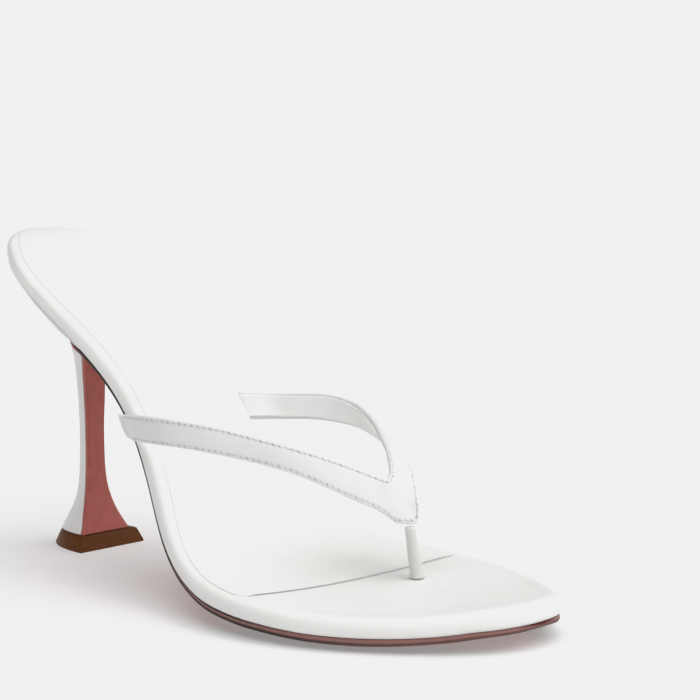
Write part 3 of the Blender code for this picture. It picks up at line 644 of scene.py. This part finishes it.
def lift_plastic(name, colour):
    """Brown heel tip with faint level streaks."""
    n = Nodes(name, colour, 0.5, specular=0.12)
    dark = tuple(c * 0.62 for c in colour)
    streaks = n.span(n.noise(1.6, 4, 0.6, stretch=(1, 1, 5)), 0.35, 0.7, 0.0, 0.8)
    n.colour(n.mix(streaks, colour, dark))
    n.link(n.span(n.noise(1.2, 3), 0.3, 0.7, 0.44, 0.58), n.shader.inputs["Roughness"])
    normal = n.bump(n.noise(0.35, 3, 0.6, stretch=(1, 1, 4)), 0.02)
    n.bump(n.noise(3, 2), 0.05, after=normal)
    return n.material


def thread(name, colour):
    n = Nodes(name, colour, 0.6, specular=0.3, sheen=0.2)
    n.bump(n.noise(0.12, 2), 0.03)
    return n.material


# fold here marks the painted shade along the crease under the seat
FOOTBED_LEATHER = leather("footbed_leather", WHITE_LEATHER, WHITE_SHADE, shade_mark="fold",
                          shade_mark_colour=CREASE_SHADE)
# cut paints the sock's grey cut edge and the seam's shade beside it
SOCK_LEATHER = leather("sock_leather", WHITE_LEATHER, WHITE_SHADE, roughness=0.47, grain=0.5,
                       shade_mark="cut", shade_mark_colour=CUT_EDGE_AND_SEAM_SHADE)
# pit paints shade into the stitch holes
STRAP_LEATHER = leather("strap_leather", STRAP_WHITE, STRAP_SHADE, shade_mark="pit")
LINING_LEATHER = leather("lining_leather", LINING_WHITE, LINING_SHADE, roughness=0.52, grain=0.35)
POST_LEATHER = leather("post_leather", POST_WHITE, POST_SHADE)
HEEL_LEATHER = leather("heel_leather", WHITE_LEATHER, WHITE_SHADE, roughness=0.40, wave=0.05)
OUTSOLE_LEATHER = sole_leather("outsole_leather", TERRACOTTA, TERRACOTTA_SHADE)
LIFT_MATERIAL = lift_plastic("lift_material", LIFT_BROWN)
THREAD_MATERIAL = thread("thread_material", THREAD_WHITE)


# ---- footbed ----
def padded_rim(side, s, inset, drop):
    """Point of the rolled rim; the padding fades out from the top to the underside."""
    edge = edge_at(side, "arc", s, inset)
    points = surface(edge[:, 0], edge[:, 1], drop)
    share = max(0.0, 1 - max(drop, 0.0) / FOOTBED_THICKNESS)
    points[:, 2] += cushion(edge[:, 0], edge[:, 1]) * share
    return points


def footbed_wrap():
    skin = Skin()
    s = eased(150)
    curve = Spline(range(len(RIM)), [(r.inset, r.drop) for r in RIM])
    profile = curve.at(np.linspace(0, len(RIM) - 1, 34))

    def ring(inset, drop):
        lateral = padded_rim("lateral", s, inset, drop)
        medial = padded_rim("medial", s, inset, drop)
        for end in (0, -1):
            lateral[end] = medial[end] = (lateral[end] + medial[end]) / 2
        return np.vstack([lateral, medial[-2:0:-1]])

    rings = []
    for inset, drop in profile:
        points = ring(inset, drop)
        # painted shade in the crease where the wrap turns under the seat
        crease_shade = smooth((drop - 3.6) / 0.8) * (1 - smooth((inset - 0.8) / 0.9))
        seat = 1 - smooth((points[:, 0] - 52) / 16)
        rings.append(skin.row(points, fold=seat * crease_shade))
    skin.join(rings)
    last = len(s) - 1
    for ids, top, columns in ((rings[0], True, 26), (rings[-1], False, 8)):
        points = ring(*profile[0 if top else -1])
        t = np.arange(1, columns)[:, None] / columns
        inner = []
        for a, b in zip(points[1:last, :2], points[:last:-1, :2]):
            flat = a + (b - a) * t
            z = top_height(*flat.T) if top else under(*flat.T, RIM[-1].drop)
            inner.append(np.column_stack([flat, z]))
        skin.fill(ids[0], ids[1:last], ids[:last:-1], ids[last], inner)
    return skin.make("footbed_wrap", FOOTBED_LEATHER, node="footbed")


def sock_side(side):
    """Side line of the sock lining from the heel to the corner of the cross seam."""
    s = np.linspace(0, 1, 900)
    plain = edge_at(side, "arc", s, 0.0)
    line = edge_at(side, "arc", s, table_at(plain[:, 0], SOCK_SEAM, "inset"))
    seam = cross_seam_x(line[:, 1])
    r = CROSS_SEAM_CORNER
    stop = int(np.argmax(line[:, 0] > seam - r))
    corner = line[stop]
    along = unit(corner - line[stop - 3])
    inward = np.array([0.0, 1.0 if side == "lateral" else -1.0])
    turn = []
    for a in np.linspace(0, math.pi / 2, 14)[1:]:
        turn.append(corner + r * (math.sin(a) * along + (1 - math.cos(a)) * inward))
    return np.vstack([line[: stop + 1], turn])


def cross_seam_x(y):
    """The front edge of the sock lining, bowed back toward both sides."""
    bow = np.where(y < CROSS_SEAM_Y, CROSS_SEAM_BOW["lateral"], CROSS_SEAM_BOW["medial"])
    return CROSS_SEAM_X - bow * (y - CROSS_SEAM_Y) ** 2


def sock_lining():
    skin = Skin()
    count, columns = 170, 34
    f = eased(count, 0.5)
    lateral = resample(sock_side("lateral"), f)
    medial = resample(sock_side("medial"), f)
    lateral[0] = medial[0] = (lateral[0] + medial[0]) / 2
    t = np.linspace(0, 1, columns + 1)[:, None]
    grid = []
    for j in range(count + 1):
        row = lateral[j] + (medial[j] - lateral[j]) * t
        bow = cross_seam_x(row[:, 1]) - np.interp(
            t[:, 0], [0, 1], cross_seam_x(np.array([lateral[j][1], medial[j][1]])))
        row[:, 0] += bow * smooth((f[j] - 0.7) / 0.3)
        grid.append(row)
    grid = np.array(grid)
    edge = np.vstack([grid[0, :1], grid[1:-1, 0], grid[-1], grid[-2:0:-1, -1]])
    ahead = unit(np.roll(edge, -1, axis=0) - np.roll(edge, 1, axis=0))
    outward = np.stack([ahead[:, 1], -ahead[:, 0]], 1)
    for _ in range(4):
        outward = unit((np.roll(outward, 1, axis=0) + outward + np.roll(outward, -1, axis=0)) / 3)
    # outward, height over the footbed and share of the grey: the cut edge's own grey on the
    # sloped rim, and the seam's painted shade on the footbed beyond it
    h = SOCK_THICKNESS
    profile = ((-0.30, h, 0.0), (-0.16, h - 0.02, 0.0), (-0.06, h - 0.07, 0.15),
               (0.0, h - 0.14, 1.0), (0.06, 0.10, 1.0), (0.22, 0.045, 1.0))
    for top in (True, False):
        height = h if top else 0.04
        edge_row = skin.row(on_top(edge + outward * (profile[0][0] if top else -0.02), height))
        inner = [on_top(row[1:-1], height) for row in grid[1:count]]
        skin.fill(edge_row[0], edge_row[1:count], edge_row[:-count:-1],
                  edge_row[count: count + columns + 1], inner)
        if top:
            previous = edge_row
            # the seam's painted shade is lighter along the sides than at the cross seam
            cut = 0.8 + 0.2 * smooth((edge[:, 0] - 138) / 12)
            for out, up, share in profile[1:]:
                ids = skin.row(on_top(edge + outward * out, up), cut=cut * share)
                skin.bridge(previous, ids)
                previous = ids
        else:
            skin.bridge(previous, edge_row)
    return skin.make("sock_lining", SOCK_LEATHER)


# ---- heel and outsole ----
def breast_rows(count=64):
    """The rows of BREAST closer together, on a smooth curve."""
    table = np.array([tuple(row) for row in BREAST])
    t = chord(table[:, :2])
    fine = Spline(t, table).at(np.linspace(0, t[-1], count))
    fine[:, 4] = np.clip(fine[:, 4], 0, 1)
    fine[:, 7:9] = np.clip(fine[:, 7:9], 0, 1)
    return [Neck(*row) for row in fine]


NECK = breast_rows()


def breast_normals():
    """In x and z, from the leather of the breast into the heel."""
    middle = (edge_y("lateral", OUTSOLE_SPLIT) + edge_y("medial", OUTSOLE_SPLIT)) / 2
    first = surface(OUTSOLE_SPLIT, middle, UNDER_FOOTBED + OUTSOLE_WAIST)[0]
    line = np.array([(first[0], first[2])] + [(row.x, row.z) for row in NECK])
    step = unit(np.vstack([line[2:] - line[:-2], [line[-1] - line[-2]]]))
    normals = np.stack([step[:, 1], -step[:, 0]], 1)
    normals[-1] = (-1.0, 0.0)
    return normals


NECK_NORMALS = breast_normals()


def breast_row(index, y_fractions, depth):
    row = NECK[index]
    y = row.mid + row.half * (2 * y_fractions - 1)
    z = row.z + row.lean * cross_rise(np.full_like(y, row.x), y) + depth * NECK_NORMALS[index][1]
    x = row.x + depth * NECK_NORMALS[index][0]
    return np.stack([np.full_like(y, x), y, z], 1)


def outsole_thickness(x):
    t = smooth((x - 95.0) / 45.0) * (1 - 0.9 * smooth((x - 178.0) / 24.0))
    return OUTSOLE_WAIST + (OUTSOLE_THICKNESS - OUTSOLE_WAIST) * t


def tread(points):
    """Flattens the ball of the outsole on the floor plane."""
    x, y = points[:, 0], points[:, 1]
    half, off = across(np.minimum(x, TOE_POINT[0]), y)
    along = smooth((x - 138) / 14) * smooth((200 - x) / 14)
    aside = 1 - smooth((np.abs(off) - 12) / 14)
    points[:, 2] = np.maximum(0.0, points[:, 2] - FLAT_DEPTH * along * aside)
    return points


EDGE_STEPS = ((1.0, 0.0), (0.8, 0.0), (0.7, 0.0), (0.55, 0.0), (0.4, 0.0), (0.12, 0.08),
              (0.0, 0.3))


def outsole_edge(corner, neighbour, top, dark, line, burnish_and_contact_shade):
    """One edge from its top to its rounded lower corner: points and how dark they are.

    dark is the dark paint of the whole edge, line a painted shade of the joint along its top, and
    the third a darker lower half: partly burnished, partly painted contact shadow.
    """
    out = unit(corner - neighbour)
    points, darks = [], []
    for share, back in EDGE_STEPS:
        points.append(corner + (top - corner) * share - out * back)
        darks.append(line if share > 0.75 else max(dark, burnish_and_contact_shade if share < 0.5 else 0.0))
    return points, darks


def outsole():
    skin = Skin()
    columns = 30
    t = np.linspace(0, 1, columns + 1)
    loops = []
    for i in range(len(NECK) - 1, -1, -1):
        outer = breast_row(i, t, 0.0)
        inner = breast_row(i, t, BREAST_THICKNESS)
        # at the top of the breast: painted shade of the joint under the seat
        paint_and_shade = (smooth((NECK[i].x - 58.0) / 5.0), smooth((NECK[i].x - 52.0) / 5.0), 0.0)
        loops.append((outer, inner, paint_and_shade))
    toe_x = SIDES["lateral"][0][-1][0] - OUTSOLE_INSET
    for x in OUTSOLE_SPLIT + (toe_x - OUTSOLE_SPLIT) * eased(110, 0.75)[:-1]:
        a = edge_at("lateral", "x", x, OUTSOLE_INSET)[0]
        b = edge_at("medial", "x", x, OUTSOLE_INSET)[0]
        flat = a + (b - a) * t[:, None]
        low = UNDER_FOOTBED + outsole_thickness(x)
        seated = UNDER_FOOTBED - 0.9 * GAP * smooth((x - 70.0) / 20.0)
        inner = surface(flat[:, 0], flat[:, 1], seated)
        outer = tread(surface(flat[:, 0], flat[:, 1], low))
        # painted dark along the waist and browned at the ball; line: painted shade of the joint
        # along the edge's top; the third: a darker lower edge, partly burnished, partly painted
        # contact shadow
        dark = 1 - smooth((x - 112.0) / 22.0)
        line = 1 - 0.9 * smooth((x - 138.0) / 30.0)
        burnish_and_contact_shade = 1 - 0.35 * smooth((x - 150.0) / 40.0)
        loops.append((outer, inner, (dark, line, burnish_and_contact_shade)))
    rings = []
    for outer, inner, paint_and_shade in loops:
        left, left_dark = outsole_edge(outer[0], outer[1], inner[0], *paint_and_shade)
        right, right_dark = outsole_edge(outer[-1], outer[-2], inner[-1], *paint_and_shade)
        brown = min(2 * paint_and_shade[-1], 1.0)
        # the underside is rubbed brown along its margin, in front of the waist
        sole = outer[1:-1]
        margin = np.minimum(np.linalg.norm(sole - outer[0], axis=1),
                            np.linalg.norm(sole - outer[-1], axis=1))
        rub = brown * smooth((sole[:, 0] - 125.0) / 20.0) * (1 - smooth((margin - 4.0) / 11.0))
        edge = np.full(len(EDGE_STEPS), brown)
        hidden = np.zeros(columns - 1)
        rings.append(skin.row(
            np.vstack([left, sole, right[::-1], inner[-2:0:-1]]),
            dark=np.concatenate([left_dark, 0.6 * rub, right_dark[::-1], hidden]),
            brown=np.concatenate([edge, rub, edge, hidden])))
    skin.join(rings)
    skin.cap(rings[0])
    low = UNDER_FOOTBED + outsole_thickness(toe_x) / 2
    tip = surface(toe_x, TOE_POINT[1], low)[0]
    skin.cap(rings[-1], tip, dark=0.5, brown=1.0)
    return skin.make("outsole_leather_piece", OUTSOLE_LEATHER, node="outsole", sharp=50)


HEEL_COLUMNS = 14
AROUND = 96
ROUND_SHARES = np.linspace(0, 1, AROUND + 1)


def flange_plan(front):
    """Footbed outline behind x = front, medial corner round the back to the lateral one."""
    f = eased(120, 0.9)
    xs = HEEL_POINT[0] + 0.1 + (front - HEEL_POINT[0] - 0.1) * f
    medial = edge_at("medial", "x", xs[::-1], FLANGE_INSET)
    lateral = edge_at("lateral", "x", xs, FLANGE_INSET)
    return resample(np.vstack([medial, lateral]), ROUND_SHARES)


def d_plan(front, back, half, mid):
    """Half a superellipse, from the medial corner round the back to the lateral one."""
    a = np.linspace(0, math.pi, 241)
    c, s = np.cos(a), np.sin(a)
    y = mid + half * np.sign(c) * np.abs(c) ** (2 / D_POWER)
    x = front - (front - back) * s ** (2 / D_POWER)
    return resample(np.stack([x, y], 1), ROUND_SHARES)


def with_front(plan):
    """Closes a plan of sides and back with a straight front."""
    t = np.linspace(0, 1, HEEL_COLUMNS + 1)[:, None]
    return np.vstack([plan[-1] + (plan[0] - plan[-1]) * t, plan[1:-1]])


def heel_ring(index):
    """One closed ring of the heel: straight front, then the sides and back."""
    row = NECK[index]
    front = breast_row(index, np.linspace(0, 1, HEEL_COLUMNS + 1), BREAST_THICKNESS + GAP)
    front_x = front[0][0]
    back = row.back_x
    if row.round < 0.999:
        back = (row.back_x - (1 - row.round) * FLANGE_INSET) / max(row.round, 0.1)
    shape = d_plan(front_x, back, row.half, row.mid)
    if row.round < 0.999:
        shape = (1 - row.round) * flange_plan(front_x) + row.round * shape
    shape[:, 1] += (front[-1][1] - shape[0, 1]) * (1 - smooth(ROUND_SHARES / 0.3))
    shape[:, 1] += (front[0][1] - shape[-1, 1]) * (1 - smooth((1 - ROUND_SHARES) / 0.3))
    x, y = shape[1:-1, 0], shape[1:-1, 1]
    back_point = shape[AROUND // 2]
    along = (front_x - x) / (front_x - back_point[0])
    level = front[HEEL_COLUMNS // 2][2] + (row.back_z - front[HEEL_COLUMNS // 2][2]) * along
    z = level
    if row.follow > 0:
        first = np.arange(1, AROUND) < AROUND / 2
        ends = np.array([front[-1], front[0]])
        gap_front = under(ends[:, 0], ends[:, 1], UNDER_FOOTBED) - ends[:, 2]
        gap_back = under(back_point[0], back_point[1], UNDER_FOOTBED)[0] - row.back_z
        t = smooth(along)
        hang = np.where(first, gap_front[0], gap_front[1]) * (1 - t) + gap_back * t
        z = row.follow * (under(x, y, UNDER_FOOTBED) - hang) + (1 - row.follow) * level
    return np.vstack([front, np.stack([x, y, z], 1)])


def close_ring(skin, ring, height=None):
    """Fills a ring with strips that run from side to side."""
    points = np.vstack(skin.rows)
    front = ring[: HEEL_COLUMNS + 1]
    sides = np.concatenate([[front[-1]], ring[HEEL_COLUMNS + 1:], [front[0]]])
    half = AROUND // 2
    left, right = sides[1:half], sides[-2:half:-1]
    t = np.arange(1, HEEL_COLUMNS)[:, None] / HEEL_COLUMNS
    rows = [a + (b - a) * t for a, b in zip(points[left], points[right])]
    if height is not None:
        for row in rows:
            row[:, 2] = height(row[:, 0], row[:, 1])
    skin.fill(front[::-1], left, right, sides[half], rows)


def heel():
    skin = Skin()
    loop = with_front(flange_plan(FLANGE_FRONT))
    drop = 0.25 + (FLANGE_THICKNESS - 0.25) * smooth((FLANGE_FRONT - loop[:, 0]) / 9.0)
    base = under(loop[:, 0], loop[:, 1], UNDER_FOOTBED)
    inward = unit(loop.mean(0) - loop) * 0.35
    loops = [np.column_stack([loop, base]), np.column_stack([loop, base - drop * 0.7]),
             np.column_stack([loop + inward, base - drop])]
    rings = skin.loft(loops)
    previous = rings[-1]
    for i in range(len(NECK)):
        ids = skin.row(heel_ring(i))
        skin.bridge(previous, ids)
        previous = ids
    close_ring(skin, rings[0], lambda x, y: under(x, y, UNDER_FOOTBED))
    close_ring(skin, previous)
    return skin.make("heel_cover", HEEL_LEATHER, node="heel", sharp=55)


def top_lift():
    skin = Skin()
    loops = []
    for row in LIFT:
        loop = with_front(d_plan(row.front, row.back, row.half, LIFT_MID))
        loops.append(np.column_stack([loop, np.full(len(loop), row.z)]))
    rings = skin.loft(loops)
    close_ring(skin, rings[0])
    close_ring(skin, rings[-1])
    return skin.make("heel_tip", LIFT_MATERIAL, node="top_lift", sharp=40)


# ---- toe post ----
def toe_post():
    skin = Skin()
    table = np.array([tuple(p) for p in POST])
    t = chord(table[:, :3])
    fine = Spline(t, table).at(np.linspace(0, t[-1], 44))
    axes = directions(fine[:, :3])
    axes[0] = (0.0, 0.0, 1.0)
    sides = 32
    angle = 2 * math.pi * np.arange(sides) / sides
    rings = []
    for row, axis in zip(fine, axes):
        side = unit(np.cross(axis, (1.0, 0.0, 0.0)))
        front = np.cross(side, axis)
        radius = np.full(sides, row[3] / 2)
        # the strip is rolled: its outer edge makes a shallow step at the back
        away = np.angle(np.exp(1j * (angle - math.radians(200))))
        radius -= 0.16 * np.exp(-((away / 0.16) ** 2)) + 0.10 * smooth(away / 0.9) * (away > 0)
        points = row[:3] + radius[:, None] * (
            np.cos(angle)[:, None] * front + np.sin(angle)[:, None] * side)
        rings.append(skin.row(points))
    skin.join(rings)
    skin.cap(rings[0], fine[0][:3])
    skin.cap(rings[-1], fine[-1][:3])
    return skin.make("toe_post_roll", POST_LEATHER, node="toe_post")


# ---- upper ----
def band_point(side, x, out, drop):
    """Point on the footbed's side, out beyond its edge and drop below its top line."""
    px, py = edge_at(side, "x", x, 0.0)[0]
    away = edge_at(side, "x", x, -out)[0] - (px, py)
    return surface(px, py, drop)[0] + (away[0], away[1], 0.0)


def strap_curve():
    """Both edges and the wall of the strap, from the lateral to the medial anchor."""
    def anchor(side, table):
        return [(*band_point(side, a.top_x, a.out, a.drop),
                 *band_point(side, a.low_x, a.out, a.low_drop), a.wall) for a in table]

    free = [(*s, STRAP_WALL) for s in LATERAL_STRAP + JOIN + MEDIAL_STRAP]
    rows = np.array(anchor("lateral", LATERAL_ANCHOR) + free + anchor("medial", MEDIAL_ANCHOR))
    length = chord((rows[:, :3] + rows[:, 3:6]) / 2)
    t = np.concatenate([[0.0], np.cumsum(np.sqrt(np.diff(length)))])
    return Spline(t, rows), t, length


class Band:
    """The strap as a sheet: place(u, v) gives points u from the upper edge and v outward."""

    def __init__(self, stations):
        curve, t, length = strap_curve()
        want = np.linspace(0, length[-1], stations + 1)
        rows = curve.at(np.interp(want, length, t))
        self.top, self.low, self.wall = rows[:, :3], rows[:, 3:6], rows[:, 6]
        self.width = np.linalg.norm(self.low - self.top, axis=1)
        self.down = unit(self.low - self.top)

    def line(self, share):
        return self.top + (self.low - self.top) * share[:, None]

    def place(self, u, v):
        """u and v in millimetres, one number or one for each station"""
        u = np.broadcast_to(np.asarray(u, float), self.width.shape)
        share = u / self.width
        base = self.line(share)
        inside = self.line(np.clip(share, 0.04, 0.96))
        along = np.gradient(inside, axis=0)
        normal = unit(-np.cross(along, self.down))
        crown = STRAP_CROWN * (1 - (2 * np.clip(share, 0, 1) - 1) ** 2)
        v = np.broadcast_to(np.asarray(v, float), self.width.shape)
        return base + normal * (crown + v)[:, None]


def pit_depth(arc, first, last):
    """0 to 1 where a stitch enters the leather, along a row of stitches."""
    phase = (arc - first) / STITCH_PITCH
    uneven = 0.72 + 0.28 * np.sin(np.round(phase) * 2.4 + 0.9 * np.sin(np.round(phase) * 0.61))
    away = np.abs(phase - np.round(phase)) * STITCH_PITCH
    on = (arc > first - 0.4) & (arc < last + 0.4)
    return np.exp(-((away / 0.29) ** 2)) * on * uneven


STRAP_STATIONS = 900
BAND = Band(STRAP_STATIONS)


def stitch_rows():
    """Both stitch rows: inset from the upper edge, arc length, start, end and stitches."""
    rows = {}
    for name, u in (("top", STITCH_INSET), ("low", BAND.width - STITCH_INSET)):
        line = BAND.place(u, 0.0)
        arc = chord(line)
        count = int((arc[-1] - 2 * STITCH_START) / STITCH_PITCH)
        rows[name] = (u, arc, STITCH_START, STITCH_START + count * STITCH_PITCH, count)
    return rows


STITCHES = stitch_rows()


def upper_leather():
    """Outer leather of the strap with its edges folded round."""
    skin = Skin()
    depth = BAND.wall * LEATHER_SHARE
    r = depth / 2
    near = (0.62, 0.78, 0.88, 0.95, 1.02, 1.12, 1.28, 1.6, 2.2)
    plain = 2.9
    loops, pits = [], []

    def lane(u, v, pit=0.0):
        loops.append(BAND.place(u, v))
        pits.append(np.broadcast_to(np.asarray(pit, float), BAND.width.shape))

    def stitched(name, offset):
        u, arc, first, last, _ = STITCHES[name]
        hole = pit_depth(arc, first, last)
        across_fade = math.exp(-((offset / 0.25) ** 2))
        trough = math.exp(-((offset / 0.38) ** 2)) * smooth((arc - first + 3) / 3) * smooth(
            (last + 3 - arc) / 3)
        # the dimple's depth, and the weight of the painted shade in the hole
        return -0.26 * hole * across_fade - 0.10 * trough, hole * across_fade

    def fold(corner, angles):
        for a in np.radians(angles[1:-1]):
            lane(corner + FOLD * math.sin(a), -r + r * math.cos(a))

    # outer face from the upper to the lower edge
    for u in near:
        v, pit = stitched("top", u - STITCH_INSET)
        lane(u, v, pit)
    for share in (0.0, 0.2, 0.4, 0.6, 0.8, 1.0):
        lane(plain + (BAND.width - 2 * plain) * share, 0.0)
    for u in near[::-1]:
        v, pit = stitched("low", u - STITCH_INSET)
        lane(BAND.width - u, v, pit)
    # lower edge, inner face, upper edge
    fold(BAND.width - FOLD, np.linspace(0, 180, 9))
    for share in (1.0, 0.8, 0.6, 0.4, 0.2, 0.0):
        lane(FOLD + (BAND.width - 2 * FOLD) * share, -depth)
    fold(FOLD, np.linspace(180, 360, 9))
    grid = np.array(loops).transpose(1, 0, 2)
    pit_grid = np.array(pits).T
    rings = [skin.row(p, pit=v) for p, v in zip(grid, pit_grid)]
    skin.join(rings)
    skin.cap(rings[0])
    skin.cap(rings[-1])
    return skin.make("strap_upper", STRAP_LEATHER, node="upper")


def strap_lining():
    """Thin lining on the inner face, cut back from the folded edges."""
    skin = Skin()
    back = BAND.wall
    face = BAND.wall * LEATHER_SHARE + 0.03
    margin = 0.85
    lip = ((margin, -face), (margin - 0.04, -(face + back) / 2), (margin + 0.06, 0.06 - back),
           (margin + 0.2, -back))
    loops = [BAND.place(u, v) for u, v in lip]
    inner = BAND.width - 2 * margin
    loops += [BAND.place(margin + inner * share, -back) for share in (0.12, 0.3, 0.5, 0.7, 0.88)]
    loops += [BAND.place(BAND.width - u, v) for u, v in lip[::-1]]
    loops += [BAND.place(margin + inner * share, -face) for share in (0.75, 0.5, 0.25)]
    grid = np.array(loops).transpose(1, 0, 2)
    rings = skin.loft(grid[::2])
    skin.cap(rings[0])
    skin.cap(rings[-1])
    return skin.make("strap_lining", LINING_LEATHER)


def thread_run(skin, path, radius, sides=6):
    """One stitch: a short rounded thread along path."""
    angle = 2 * math.pi * np.arange(sides)[:, None] / sides
    rings = []
    for point, axis in zip(path, directions(path)):
        a = unit(np.cross(axis, (0.0, 0.0, 1.0) if abs(axis[2]) < 0.9 else (1.0, 0.0, 0.0)))
        b = np.cross(axis, a)
        rings.append(skin.row(point + radius * (np.cos(angle) * a + np.sin(angle) * b)))
    skin.join(rings)
    for ring in (rings[0], rings[-1]):
        for i in range(1, sides - 1):
            skin.face(ring[0], ring[i], ring[i + 1])


def stitching():
    """Rows of lock stitches: threads that dive into the leather at every hole."""
    skin = Skin()
    wave = ((0.16, -0.24), (0.25, -0.06), (0.37, 0.04), (0.5, 0.06), (0.63, 0.04), (0.75, -0.06),
            (0.84, -0.24))
    for key in ("top", "low"):
        u, arc, first, last, count = STITCHES[key]
        levels = [BAND.place(u, THREAD_LEVEL + rise) for _, rise in wave]
        for k in range(count):
            path = []
            for (share, _), level in zip(wave, levels):
                at = first + (k + share) * STITCH_PITCH
                path.append([np.interp(at, arc, level[:, c]) for c in range(3)])
            thread_run(skin, np.array(path), THREAD / 2)
    return skin.make("strap_stitches", THREAD_MATERIAL)


footbed_wrap()
sock_lining()
outsole()
heel()
top_lift()
toe_post()
upper_leather()
strap_lining()
stitching()

# ---- floor, light, camera ----
FLOOR_RADIUS = 3.0
WALL_HEIGHT = 0.35
FLOOR_COLOUR = (0.67, 0.67, 0.67)
FLOOR_GLOW = 0.24
SKY_LOW = 0.06
SKY_HIGH = 2.55
SKY_TOWARD = (0.34, 0.04, 0.90)
WALL_GLOW = 1.0
WHITE_POINT = 0.88          # the brightest paper and leather, linear
CURVE_END = 2.0
TONE = ((0.30, 0.295), (0.55, 0.52), (0.68, 0.63), (0.78, 0.735), (0.88, 0.832), (0.96, 0.868),
        (1.04, WHITE_POINT))


def stage_piece(name, loops, glow):
    """A disc from one loop, a wall between two."""
    mesh = bpy.data.meshes.new(name)
    count = len(loops[0])
    points = [p for loop in loops for p in loop]
    if len(loops) == 1:
        faces = [list(range(count))]
    else:
        faces = [(i, (i + 1) % count, count + (i + 1) % count, count + i) for i in range(count)]
    mesh.from_pydata(points, [], faces)
    n = Nodes(name + "_paper", FLOOR_COLOUR, 0.9, specular=0.1)
    n.shader.inputs["Emission Color"].default_value = (1, 1, 1, 1)
    n.shader.inputs["Emission Strength"].default_value = glow
    mesh.materials.append(n.material)
    piece = bpy.data.objects.new(name, mesh)
    bpy.context.scene.collection.objects.link(piece)


def circle(z, count=96):
    turns = [2 * math.pi * k / count for k in range(count)]
    return [(FLOOR_RADIUS * math.cos(t), FLOOR_RADIUS * math.sin(t), z) for t in turns]


def aim(thing, toward):
    thing.rotation_mode = "QUATERNION"
    thing.rotation_quaternion = Vector(toward).to_track_quat("-Z", "Y")
    bpy.context.scene.collection.objects.link(thing)


def soft_sun(name, toward, strength, spread):
    data = bpy.data.lights.new(name, "SUN")
    data.energy = strength
    data.angle = math.radians(spread)
    lamp = bpy.data.objects.new(name, data)
    lamp.location = (0, 0, 2)
    aim(lamp, toward)


stage_piece("studio_floor", [circle(0.0)], FLOOR_GLOW)
stage_piece("studio_wall", [circle(0.0), circle(WALL_HEIGHT)], WALL_GLOW)

world = bpy.data.worlds.new("studio_sky")
world.use_nodes = True
sky = world.node_tree
place = sky.nodes.new("ShaderNodeTexCoord")
side = sky.nodes.new("ShaderNodeVectorMath")
side.operation = "DOT_PRODUCT"
side.inputs[1].default_value = Vector(SKY_TOWARD).normalized()
ramp = map_range(sky, 0.47, 1.0, SKY_LOW, SKY_HIGH)
sky.links.new(place.outputs["Generated"], side.inputs[0])
sky.links.new(side.outputs["Value"], ramp.inputs["Value"])
sky.nodes["Background"].inputs["Color"].default_value = (1, 1, 1, 1)
sky.links.new(ramp.outputs["Result"], sky.nodes["Background"].inputs["Strength"])
bpy.context.scene.world = world
soft_sun("key_light", (-0.85, -0.10, -0.60), 0.22, 70)

scene = bpy.context.scene
view = scene.view_settings
view.view_transform = "Standard"
view.look = "None"
view.use_curve_mapping = True
curves = view.curve_mapping
curves.clip_max_x = CURVE_END
curves.clip_max_y = 1.0
curves.extend = "HORIZONTAL"
tone = curves.curves[3]
tone.points[0].location = (0.0, 0.0)
tone.points[1].location = (CURVE_END, WHITE_POINT)
for at in TONE:
    tone.points.new(*at)
curves.update()

CAMERA_AT = (0.44571, -0.40745, 0.14767)
CAMERA_AZIMUTH = 44.753
CAMERA_ELEVATION = 7.689
CAMERA_LENS = 113.70
lens = bpy.data.cameras.new("camera")
lens.sensor_width = 36.0
lens.lens = CAMERA_LENS
lens.clip_start = 0.01
camera = bpy.data.objects.new("camera", lens)
a, e = math.radians(CAMERA_AZIMUTH), math.radians(CAMERA_ELEVATION)
camera.location = CAMERA_AT
aim(camera, (-math.sin(a) * math.cos(e), math.cos(a) * math.cos(e), -math.sin(e)))
scene.camera = camera
